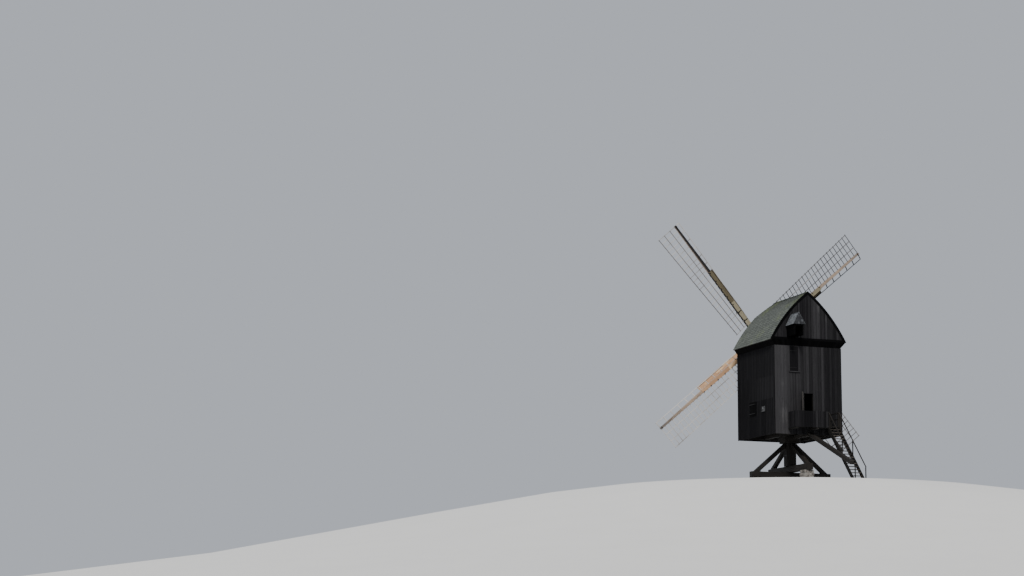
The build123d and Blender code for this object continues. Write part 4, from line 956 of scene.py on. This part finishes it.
def build_landing():
    beams, deck, parapet, rails = Joinery(), Joinery(), Joinery(), Joinery()
    wide, deep, plank = 0.14, 0.17, 0.05
    z = DECK_TOP - plank - deep / 2
    for x in stations(DECK_RIGHT + wide / 2, DECK_LEFT - wide / 2, 2):
        beams.timber((x, HALF_LENGTH + SEAM, z), (x, DECK_EDGE, z), wide, deep, Z, 0.008, rough=0.02, parts=4)
    for a, b in split(HALF_LENGTH + SEAM, DECK_EDGE + SEAM, 6, 5 * SEAM):
        y, z = (a + b) / 2, DECK_TOP - plank / 2
        deck.timber((DECK_RIGHT + chance.uniform(0, 0.015), y, z), (DECK_LEFT - 0.001, y, z),
                    b - a, plank - 0.001, Z, 0.004)
    low, high = DECK_TOP - 0.12, DECK_TOP + PARAPET
    outer = DECK_LEFT + TRIM

    def uneven(u):
        return low + 0.008 * sin(u * 37)

    board_up(parapet, REAR, (STAIR_LEFT, outer), uneven, level(high), DECK_EDGE, DECK_EDGE + TRIM, width=0.18,
             toning=lambda u, z, own: own * 0.3 - 0.5 if 0.3 < u < 0.95 else own * 0.8 - 0.05)
    board_up(parapet, LEFT, (HALF_LENGTH + 2 * SEAM, DECK_EDGE - SEAM), uneven, level(high), DECK_LEFT, outer,
             width=0.18)
    post = 0.045
    near, far = HALF_LENGTH + post, DECK_EDGE - post
    left, right, stair = DECK_LEFT - post, DECK_RIGHT + post, STAIR_LEFT + post
    for x, y in ((left, far), (left, near), (stair, far), (right, far), (right, near)):
        rails.timber((x, y, DECK_TOP), (x, y, high - 0.001), 2 * post, 2 * post, X, rough=0.02, parts=4)
    near, far = near + post + 0.001, far - post - 0.001
    for z in (high - 0.07, DECK_TOP + PARAPET / 2):
        rails.timber((right, near, z), (right, far, z), 0.07, 0.07, Z, 0.008)
    x, y = DECK_LEFT - 0.03, DECK_EDGE - 0.03
    for z in (high - 0.05, DECK_TOP + 0.3):
        rails.timber((stair + post + 0.001, y, z), (left - post - 0.001, y, z), 0.058, 0.07)
        rails.timber((x, near, z), (x, far, z), 0.058, 0.07)
    beams.piece("landing_beam_timbers", "frame_oak", "landing_beams")
    deck.piece("landing_planks", "frame_oak", "landing_deck", slot="floor_boards")
    parapet.piece("parapet_boards", "tarred_boards", "landing_parapet")
    rails.piece("landing_posts", "frame_oak", "landing_rail")


def build_stair():
    strings, treads, rails, iron = Joinery(), Joinery(), Joinery(), Joinery()
    centre = STAIR_LEFT - STAIR_WIDTH / 2
    height = DECK_TOP - STAIR_LIFT
    drop = STRING_DEPTH * hypot(1, STAIR_SLOPE)
    foot = DECK_EDGE + height / STAIR_SLOPE
    half, flat, ease = 0.03, 0.027, 0.004
    top = Vector((0, DECK_EDGE + 0.001, DECK_TOP))
    upper_end = Vector((0, foot + 0.001, STAIR_LIFT))
    lower_end = upper_end - Y * drop / STAIR_SLOPE
    for side in (-1, 1):
        x = centre + side * (STAIR_WIDTH / 2 - half)
        rings = []
        for share in stations(0, 1, 8):
            upper = X * x + top.lerp(upper_end, share)
            lower = X * x + (top - Z * drop).lerp(lower_end, share)
            rings.append([
                upper + X * flat, upper + X * half - Z * ease, lower + X * half + Z * ease, lower + X * flat,
                lower - X * flat, lower - X * half + Z * ease, upper - X * half - Z * ease, upper - X * flat,
            ])
        strings.rings(rings)
        start, end = DECK_EDGE + 0.04, foot - 0.01
        for y in (start + 0.105, (start + end) / 2 + 0.035, end - 0.035):
            low = DECK_TOP - (y - DECK_EDGE) * STAIR_SLOPE
            rails.timber((x, y, low - 0.03), (x, y, low + 0.895), 0.07, 0.058, X, 0.005, rough=0.02, parts=3)
            bolt(iron, (x + side * half, y, low - 0.02), X * side, 0.014, 0.008)
        start, end = (Vector((x, y, DECK_TOP + 0.952 - (y - DECK_EDGE) * STAIR_SLOPE)) for y in (start, end))
        rails.timber(start, end, 0.068, 0.068, Z, 0.016, rough=0.02, parts=8)
    reach = STAIR_WIDTH / 2 - 0.0605
    for number in range(1, TREADS + 1):
        fall = number * height / (TREADS + 1)
        y, z = DECK_EDGE - 0.08 + fall / STAIR_SLOPE, DECK_TOP - fall - 0.0225
        treads.timber((centre - reach, y, z), (centre + reach, y, z), 0.228, 0.043, Z, 0.007, rough=0.02, parts=3)
    strings.piece("stair_string_boards", "frame_oak", "stair_strings")
    treads.piece("stair_tread_boards", "floor_boards", "stair_treads")
    rails.piece("stair_rail_timbers", "frame_oak", "stair_rails")
    iron.piece("stair_bolts", "wrought_iron")


def build_tail_pole():
    """A pole bent once, mitred at its bend, with iron bands round it."""
    pole, iron = Joinery(), Joinery()
    start, bend = Vector((0, POLE_START, POLE_LEVEL)), Vector((0, POLE_BEND, POLE_LEVEL))
    end = Vector((0, POLE_END, POLE_END_LEVEL))
    run = (end - bend).normalized()
    up = X.cross(run)
    mitre = (Y + run).normalized()
    rings = []
    for centre, along in ((start, Y), (bend, mitre / mitre.y), (bend.lerp(end, 0.5), run), (end, run)):
        rings.append([centre + X * x + X.cross(along) * y for x, y in eased(POLE_HALF, POLE_HALF, 0.014)])
    pole.rings(rings)
    pole.piece("tail_pole_timber", "frame_oak", "tail_pole")
    length, width, thick, off = 0.2619, 0.05, 0.006, POLE_HALF + 0.0025
    for distance in (0.25, 0.62, 5.9):
        centre = bend + run * distance
        for across, out in ((X, up), (up, X)):
            for side in (-1, 1):
                iron.band(centre + out * side * off, across, length, width, thick, out)
        bolt(iron, centre + up * (POLE_HALF + thick), up, 0.016, 0.012)
    iron.piece("tail_pole_bands", "wrought_iron")


# Masonry, trestle and floors

def build_masonry():
    stones, mortar = Joinery(), Joinery()
    thick, course_height, joint = 0.2, 0.19, 0.018
    for turn, height in ((0, PIER_TOP), (90, LOWER_BEAM_TOP)):
        for side in (-1, 1):
            centre = turned(turn) @ X * side * PIER_CENTRE
            core = 2 * PIER_HALF - 0.06
            mortar.timber(centre + Z * FOOTING_TOP, centre + Z * (height - 0.002), core, core, X, 0.03)
            courses = round((height - FOOTING_TOP) / course_height)
            deep = (height - FOOTING_TOP) / courses
            for course in range(courses):
                z = FOOTING_TOP + deep * (course + 0.5)
                for quarter in range(4):
                    along, out = turned(90 * quarter) @ X, turned(90 * quarter) @ -Y
                    widths = [chance.uniform(0.8, 1.3) for _ in range(3)]
                    share = (2 * PIER_HALF - thick) / sum(widths)
                    start = -PIER_HALF + thick * ((course + quarter) % 2)
                    for wide in (width * share for width in widths):
                        size = (wide - joint, thick + chance.uniform(-0.015, 0.0), deep - joint + 0.002)
                        middle = centre + along * (start + wide / 2) + out * (PIER_HALF - thick / 2) + Z * z
                        stones.lump(middle, size, 90 * quarter)
                        start += wide
                    if course == courses - 1 and quarter % 2 == 0:
                        for shift in (-0.13, 0.13):
                            spot = centre + out * 0.09 + along * shift + Z * (z - 0.004)
                            stones.lump(spot, (0.24, 0.17, deep - 0.01), 90 * quarter)
    stones.piece("pier_stones", "pier_masonry", "piers", body="trestle", smooth=True)
    mortar.piece("pier_mortar", "lime_mortar", body="trestle", slot="pier_masonry")

    slabs, bed = Joinery(), Joinery()
    reach = 2.89
    for turn, start in ((0, 0.0), (90, 0.45)):
        along, across = turned(turn) @ X, turned(turn) @ Y
        for side in (-1, 1):
            middle = along * side * (start + reach) / 2 + Z * 0.066
            bed.band(middle, along, reach - start - 0.04, 0.86, 0.128, Z, 0.02)
            for row in (-1, 1):
                place = start
                while place < reach - 0.05:
                    long = min(chance.uniform(0.3, 0.5), reach - place)
                    if reach - place - long < 0.2:
                        long = reach - place
                    spot = along * side * (place + long / 2) + across * row * 0.225 + Z * 0.0745
                    slabs.lump(spot, (long - 0.015, 0.435, 0.138), turn)
                    place += long
    slabs.piece("footing_stones", "pier_masonry", "footings", body="trestle", smooth=True)
    bed.piece("footing_mortar", "lime_mortar", body="trestle", slot="pier_masonry")


def build_trestle():
    beams, bars, iron = Joinery(), Joinery(), Joinery()
    for along, top in ((X, LOWER_BEAM_TOP), (Y, UPPER_BEAM_TOP)):
        middle = Z * (top - BEAM_HEIGHT / 2)
        beams.timber(middle - along * BEAM_REACH, middle + along * BEAM_REACH, BEAM_WIDTH, BEAM_HEIGHT, Z, 0.022,
                     rough=0.012, parts=14)
    for turn, top in ((0, LOWER_BEAM_TOP), (180, LOWER_BEAM_TOP), (90, UPPER_BEAM_TOP), (270, UPPER_BEAM_TOP)):
        rotation = turned(turn)
        foot, head = Vector((QUARTER_FOOT, 0, top)), Vector((POST_HALF, 0, QUARTER_HEAD))
        along = (head - foot).normalized()
        up = along.cross(Y).normalized()
        up *= copysign(1, up.z)
        edges = []
        for x, y in eased(QUARTER_HALF, QUARTER_HALF, 0.012):
            base = foot + Y * x + up * y
            to_beam = (top + SEAM - base.z) / along.z
            to_post = (POST_HALF + SEAM - base.x) / along.x
            to_saddle = (SADDLE_BOTTOM - SEAM - base.z) / along.z
            edges.append((base + along * to_beam, base + along * min(to_post, to_saddle)))
        rings = []
        for share in stations(0, 1, 8):
            ring = []
            for low, high in edges:
                point = low.lerp(high, share)
                axis = foot + along * (point - foot).dot(along)
                worn = chance.uniform(0, 0.016 if 0 < share < 1 else 0.0)
                ring.append(rotation @ (point + (axis - point) * worn))
            rings.append(ring)
        bars.rings(rings)
        for side in (-1, 1):
            start = foot + along * 0.42 + Y * side * (QUARTER_HALF + 0.0015) + up * 0.1
            strap(iron, rotation @ start, rotation @ (start - Z * 0.45), rotation @ Y * side, 0.06, 0.008, 3)
        bolt(iron, rotation @ (foot + along * 0.3 + up * 0.131), rotation @ up, 0.022, 0.016)
    for z in (2.3, 3.05):
        for turn in (0, 90, 180, 270):
            out, across = turned(turn) @ X, turned(turn) @ Y
            corner, flank = turned(turn + 45) @ X, turned(turn + 45) @ Y
            iron.band(out * (POST_HALF + 0.0035) + Z * z, across, 0.47, 0.07, 0.007, out)
            iron.band(corner * 0.4215 + Z * z, flank, 0.166, 0.07, 0.007, corner)
    beams.piece("cross_beam_timbers", "frame_oak", "lower_cross_beam", "upper_cross_beam", body="trestle")
    bars.piece("quarter_bar_timbers", "frame_oak", "quarter_bars", body="trestle")
    iron.piece("trestle_ironwork", "wrought_iron", body="trestle")


def build_floors():
    for name, top in (("lower", FLOOR), ("upper", UPPER_FLOOR)):
        planks = Joinery()
        for a, b in split(-INNER_WIDTH, INNER_WIDTH, 24, 0.001):
            inside = min(abs(a), abs(b))
            end = INNER_LENGTH - (0.2 if inside > INNER_WIDTH - 0.21 else 0.0) - 0.001
            spans = [(-end, end)]
            if name == "lower" and inside < POST_HOLE:
                gap = sqrt(POST_HOLE ** 2 - inside ** 2)
                spans = [(-end, -gap), (gap, end)]
            x, z = (a + b) / 2, top - 0.03
            for start, stop in spans:
                planks.timber((x, start, z), (x, stop, z), b - a, 0.058, Z, 0.003)
        planks.piece(f"{name}_floor_planks", "floor_boards", f"{name}_floor")


# Sails

# Of each sail: the whip and its trailing edge, the bars, the laths, the inner and the outer leading boards, and
# the inner and the outer back board. The tones are partly the wood's own and partly painted light and shade:
# the trailing edge of sails 1 and 3 is painted light as if sunlit, and the bars of sail 2 are painted dark as shade.
SAIL_TONES = {
    1: ((-0.7, 2.6), 1.0, 0.45, (0.2, -0.2), (0.9, 0.2)),
    2: ((1.2, 1.2), -0.8, 0.5, (0.0, -0.3), (0.9, 0.6)),
    3: ((-0.1, 0.6), 0.5, 0.5, (0.5, 0.3), (0.6, 0.5)),
    4: ((1.2, 1.2), 1.15, 1.0, (1.25, 0.75), (1.25, 0.8)),
}


def spoke(angle):
    """A direction square to the shaft, at an angle in degrees."""
    return X * cos(radians(angle)) + SHAFT_UP * sin(radians(angle))


def arm_place(number):
    """Points of one arm: radius along it, sideways in the sail's plane, and forward towards the wind."""
    along, side = spoke(SAIL_ANGLE + 90 * number), spoke(SAIL_ANGLE + 90 * number + 90)
    centre = HUB + SHAFT_FORWARD * STOCK_OFFSET * (-1) ** number
    return lambda radius, sideways, forward: centre + along * radius + side * sideways + SHAFT_FORWARD * forward


def from_heel(at_heel, at_tip, radius):
    return at_heel + (at_tip - at_heel) * (radius - HEEL) / (TIP - HEEL)


def trail_angle(radius):
    return 180 + from_heel(HEEL_PITCH, TIP_PITCH, radius)


def lead_angle(radius):
    return LEAD_PITCH + from_heel(HEEL_PITCH, TIP_PITCH, radius)


def stock_half(radius):
    return (STOCK_ROOT + (STOCK_TIP - STOCK_ROOT) * radius / SAIL_RADIUS) / 2


def twisted(place, radius, angle, across, lift):
    """A point on the twisted sail: across the frame from the stock at the bar's own pitch, and lifted off it."""
    rise, reach = sin(radians(angle)), cos(radians(angle))
    return place(radius, across * reach - lift * rise, across * rise + lift * reach)


def to_edges(radii):
    """The radii of a row of bars, the first and last of them moved out to their bars' outer edges."""
    return [radii[0] + BAR_HALF_WIDTH, *radii[1:-1], radii[-1] - BAR_HALF_WIDTH]


def build_lattice(work, place, bar_tone, lath_tone, boarded_tone):
    """Bars through the stock, three laths behind them and one before, all following the twist."""
    def bar(radius, angle, end, tone, half_width=BAR_HALF_WIDTH, half_depth=BAR_HALF_DEPTH):
        start = stock_half(radius) / abs(cos(radians(angle))) - 0.012
        section = eased(half_width, half_depth, 0.004)
        work.rings([[twisted(place, radius + x, angle, v, y) for x, y in section] for v in (start, end)], tone)

    def lath(radii, angle_at, across_at, lift, tone):
        half, thick = LATH_HALF_WIDTH, LATH_HALF_DEPTH
        section = ((half, thick), (-half, thick), (-half, -thick), (half, -thick))
        work.rings([[twisted(place, radius, angle_at(radius), across_at(radius) + x, lift + y) for x, y in section]
                    for radius in radii], tone)

    def trail_width(radius):
        return from_heel(HEEL_WIDTH, TIP_WIDTH, radius)

    for radius in BAR_RADII:
        end = trail_width(radius) + BAR_TAIL + chance.uniform(-0.012, 0.006)
        bar(radius, trail_angle(radius), end, bar_tone + chance.uniform(-0.2, 0.2))
    radii = to_edges(BAR_RADII)
    for share in (0.35, 0.68, 1.0):
        for first, last in ((0, 9), (9, 18), (18, 25)):
            lath(radii[first:last + 1], trail_angle, lambda r: trail_width(r) * share - LATH_HALF_WIDTH, LATH_LIFT,
                 lath_tone + chance.uniform(-0.2, 0.2))
    for radius in STUB_RADII:
        own, size = (bar_tone, (0.032, 0.018)) if radius > SPLICE else (boarded_tone, ())
        bar(radius, lead_angle(radius), LEAD_WIDTH, own + chance.uniform(-0.2, 0.2), *size)
    radii = to_edges(STUB_RADII)
    for first, last in ((0, 6), (6, 12)):
        lath(radii[first:last + 1], lead_angle, lambda r: LEAD_WIDTH - LATH_HALF_WIDTH, -LATH_LIFT,
             bar_tone + chance.uniform(-0.2, 0.2))


def build_leading_boards(work, place, tones):
    """Three rows of two boards each along the leading side of the sail's inner half."""
    start, end = HEEL - 0.045, STUB_RADII[OPEN_STUBS] - BAR_SPACING * BARS_PAST

    def section(radius, row):
        angle = lead_angle(radius)
        rise, reach = sin(radians(angle)), cos(radians(angle))
        inner = min((stock_half(radius) + BOARD_LIFT * rise + 0.012) / reach,
                    (stock_half(radius) + 0.016 - BOARD_LIFT * reach) / rise)
        near, far = split(inner, LEAD_WIDTH + 0.033, 3, 0.002)[row]
        corners = eased((far - near) / 2, 0.0115, 0.003)
        return [twisted(place, radius, angle, (near + far) / 2 + x, BOARD_LIFT + y) for x, y in corners]

    for row, joint in enumerate((0.34, 0.62, 0.45)):
        marks = (start + chance.uniform(0, 0.03), start + (end - start) * joint + chance.uniform(-0.1, 0.1),
                 end - chance.uniform(0, 0.03))
        for (low, high), tone in zip(pairwise(marks), tones):
            radii = stations(low, high, 8)
            radii[0] += 0.002
            radii[-1] -= 0.002
            work.rings([section(radius, row) for radius in radii], tone + chance.uniform(-0.15, 0.15))


def build_sail(number):
    place = arm_place(number - 1)
    (whip_tone, lit_edge_tone), bar_tone, lath_tone, board_tones, back_tones = SAIL_TONES[number]
    lattice, boards, iron, inner, whip, backs = (Joinery() for _ in range(6))
    build_lattice(lattice, place, bar_tone, lath_tone, board_tones[0] * 0.8)
    build_leading_boards(boards, place, board_tones)

    # The whip's trailing side takes its own tone from the table: painted light on sails 1 and 3, as if the sun fell
    # on it.
    for work, start, end, lit_side_tone in ((inner, 0, SPLICE, None), (whip, SPLICE + 0.002, SAIL_RADIUS, lit_edge_tone)):
        rings = []
        for radius in stations(start, end, 9):
            half = stock_half(radius) - chance.uniform(0, 0.002)
            rings.append([place(radius, x, y) for x, y in eased(half, half, 0.016)])
        work.rings(rings, whip_tone, lit_side_tone)
    for radius in (1.0, 1.75, 2.5, SAIL_RADIUS - 0.12):
        half, thick = stock_half(radius) + (0.03 if radius < 3 else 0.004), 0.004
        for x, y, wide, deep in ((half, 0, thick, half), (-half, 0, thick, half),
                                 (0, half, half, thick), (0, -half, half, thick)):
            corners = ((x + wide, y + deep), (x - wide, y + deep), (x - wide, y - deep), (x + wide, y - deep))
            iron.rings([[place(at, *corner) for corner in corners] for at in (radius - 0.03, radius + 0.03)])
        for side in (-1, 1):
            bolt(iron, place(radius, 0, side * (half + 0.002)), SHAFT_FORWARD * side, 0.018, 0.014)
    for radius in STUB_RADII:
        bolt(iron, place(radius + 0.09, 0, -stock_half(radius) - 0.001), -SHAFT_FORWARD)
    for start, end, tone in ((0.66, 3.35, back_tones[0]), (3.36, SPLICE + 0.01, back_tones[1])):
        rings = []
        for radius in stations(start, end, 7):
            half = stock_half(radius)
            rings.append([place(radius, x + 0.022, y - half - 0.013) for x, y in eased(half + 0.018, 0.012, 0.003)])
        backs.rings(rings, tone + chance.uniform(-0.1, 0.1))
    for radius in STUB_RADII:
        if 0.8 < radius < SPLICE:
            edge, back = 0.045 - stock_half(radius), -stock_half(radius) - 0.0285
            start, end = (place(radius + shift, edge, back) for shift in (-0.045, 0.045))
            iron.timber(start, end, 0.066, 0.008, SHAFT_FORWARD, 0.001)

    board_finish = "leading_boards" if number == 4 else "weathered_boards"
    lattice.piece(f"sail_{number}_lattice", "sail_lattice", f"lattice_{number}", body="sails")
    boards.piece(f"sail_{number}_boards", board_finish, f"leading_boards_{number}", body="sails",
                 slot="leading_boards")
    inner.piece(f"sail_{number}_stock", "sail_timber", "stocks", body="sails")
    backs.piece(f"sail_{number}_back_boards", board_finish, body="sails", slot="leading_boards")
    whip.piece(f"sail_{number}_whip", "sail_timber", body="sails")
    iron.piece(f"sail_{number}_ironwork", "wrought_iron", body="sails")


def build_head():
    """Rims and bolts on the cast head, oak wedges that hold the stocks, and hoops round the shaft."""
    rims, wedges, hoops = Joinery(), Joinery(), Joinery()
    across, up = spoke(SAIL_ANGLE), spoke(SAIL_ANGLE + 90)
    half, length, width, thick = 0.287, 0.588, 0.06, 0.018
    for distance in (-0.45, 0.34):
        for out, along in ((across, up), (up, across)):
            for side in (-1, 1):
                middle = HUB + SHAFT_FORWARD * distance + out * side * half
                rims.band(middle, along, length, width, thick, out, 0.004)
                for spot in (-0.19, 0, 0.19):
                    bolt(rims, middle + out * side * thick / 2 + along * spot, out * side, 0.018, 0.016)
    for along, side, offset in ((across, up, STOCK_OFFSET), (up, -across, -STOCK_OFFSET)):
        for end in (-1, 1):
            for flank in (-1, 1):
                root = HUB + SHAFT_FORWARD * offset + along * end * 0.28 + side * flank * 0.168
                wedges.timber(root, root + along * end * 0.16, 0.2, 0.036, side, 0.003, ends=(0.19, 0.05))
    for distance in (0.62, 0.95):
        for angle in range(0, 360, 45):
            out = spoke(angle)
            middle = HUB - SHAFT_FORWARD * distance + out * (SHAFT_RADIUS * cos(pi / 8) + 0.004)
            hoops.band(middle, spoke(angle + 90), 0.214, 0.06, 0.008, out)
    rims.piece("head_rims", "cast_iron_head", body="sails")
    wedges.piece("head_wedges", "frame_oak", body="sails")
    hoops.piece("shaft_hoops", "wrought_iron", body="sails")


def dress_nodes():
    """CAD nodes whose shape is right keep it, and take a finish with the grain along them."""
    finishes = {part["node"]: part["material_slot"] for part in frame["record"]["subparts"]}
    for finish, names in (
        ("upright_oak", ("main_post", "corner_posts")),
        ("cross_oak", ("saddle", "crown_beam", "shaft_beams", "shaft_bearings")),
        ("long_oak", ("sills", "sheers", "wall_plates", "floor_girts", "wind_shaft")),
    ):
        finishes.update(dict.fromkeys(names, finish))
    for name, node in frame["nodes"].items():
        node.data.materials.clear()
        node.data.materials.append(FINISHES[finishes[name]])


# Camera, stage and light

def set_camera():
    """Where the photograph was taken from: low down and far off, the mill in the right half of the picture."""
    distance, height, lens, sensor = 139.058, -10.302, 71.3053125, 36
    azimuth, turn, pitch, roll = (radians(angle) for angle in (153.193, 7.847, 9.896, 0.449))
    data = bpy.data.cameras.new("camera")
    data.lens = lens
    data.sensor_width = sensor
    data.clip_end = 1000
    camera = link_object("camera", data)
    place = Vector((sin(azimuth), -cos(azimuth), 0)) * distance
    ahead = -place.normalized()
    ahead.rotate(Matrix.Rotation(turn, 3, "Z"))
    forward = ahead * cos(pitch) + Z * sin(pitch)
    right = ahead.cross(Z)
    right = right * cos(roll) + right.cross(forward) * sin(roll)
    axes = Matrix((right, right.cross(forward), -forward)).transposed()
    camera.matrix_world = Matrix.Translation(place + Z * height) @ axes.to_4x4()
    bpy.context.scene.camera = camera


def set_stage():
    """A pale floor: level round the mill, then falling away as a smooth rise does."""
    rings = ((5, 0), (9.5, 0), (11.5, -0.07), (14, -0.28), (18, -0.85), (25, -2.2), (40, -5.2), (70, -9.5),
             (110, -12.6), (160, -13.6), (240, -13.8))
    steps = 96
    points, faces = [(0, 0, 0)], []
    for radius, height in rings:
        for step in range(steps):
            angle = 2 * pi * step / steps
            points.append((radius * cos(angle), radius * sin(angle), height))
    for step in range(steps):
        after = (step + 1) % steps
        faces.append((0, 1 + step, 1 + after))
        for low in range(1, 1 + (len(rings) - 1) * steps, steps):
            high = low + steps
            faces.append((low + step, high + step, high + after, low + after))
    mesh = bpy.data.meshes.new("floor")
    mesh.from_pydata(points, [], faces)
    mesh.polygons.foreach_set("use_smooth", [True] * len(faces))
    f = Finish("pale_floor")
    cloud = f.noise(f.place(0.3), detail=3)
    f.finish(f.mix(cloud, (0.60, 0.60, 0.59), (0.64, 0.64, 0.63)), 0.9, specular=0.1)
    mesh.materials.append(f.material)
    link_object("floor", mesh)


def set_light():
    world = bpy.data.worlds.new("studio")
    world.use_nodes = True
    background = world.node_tree.nodes["Background"].inputs
    background["Color"].default_value = (0.86, 0.91, 1.0, 1)
    background["Strength"].default_value = 0.55
    bpy.context.scene.world = world
    for name, azimuth, rise, strength, width, colour in (
        ("key", 158, 38, 3.6, 9, (1.0, 0.96, 0.9)),
        ("fill", 20, 40, 0.9, 40, (0.95, 0.97, 1.0)),
    ):
        data = bpy.data.lights.new(name, "SUN")
        data.energy = strength
        data.angle = radians(width)
        data.color = colour
        lamp = link_object(name, data)
        a, e = radians(azimuth), radians(rise)
        source = Vector((sin(a) * cos(e), -cos(a) * cos(e), sin(e)))
        lamp.rotation_mode = "QUATERNION"
        lamp.rotation_quaternion = source.to_track_quat("Z", "Y")


make_finishes()
build_roof()
build_gables()
build_skirt()
build_walls()
build_door()
build_hatch()
build_windows()
build_hood()
build_landing()
build_stair()
build_tail_pole()
build_masonry()
build_trestle()
build_floors()
for number in SAIL_TONES:
    build_sail(number)
build_head()
dress_nodes()
set_camera()
set_stage()
set_light()
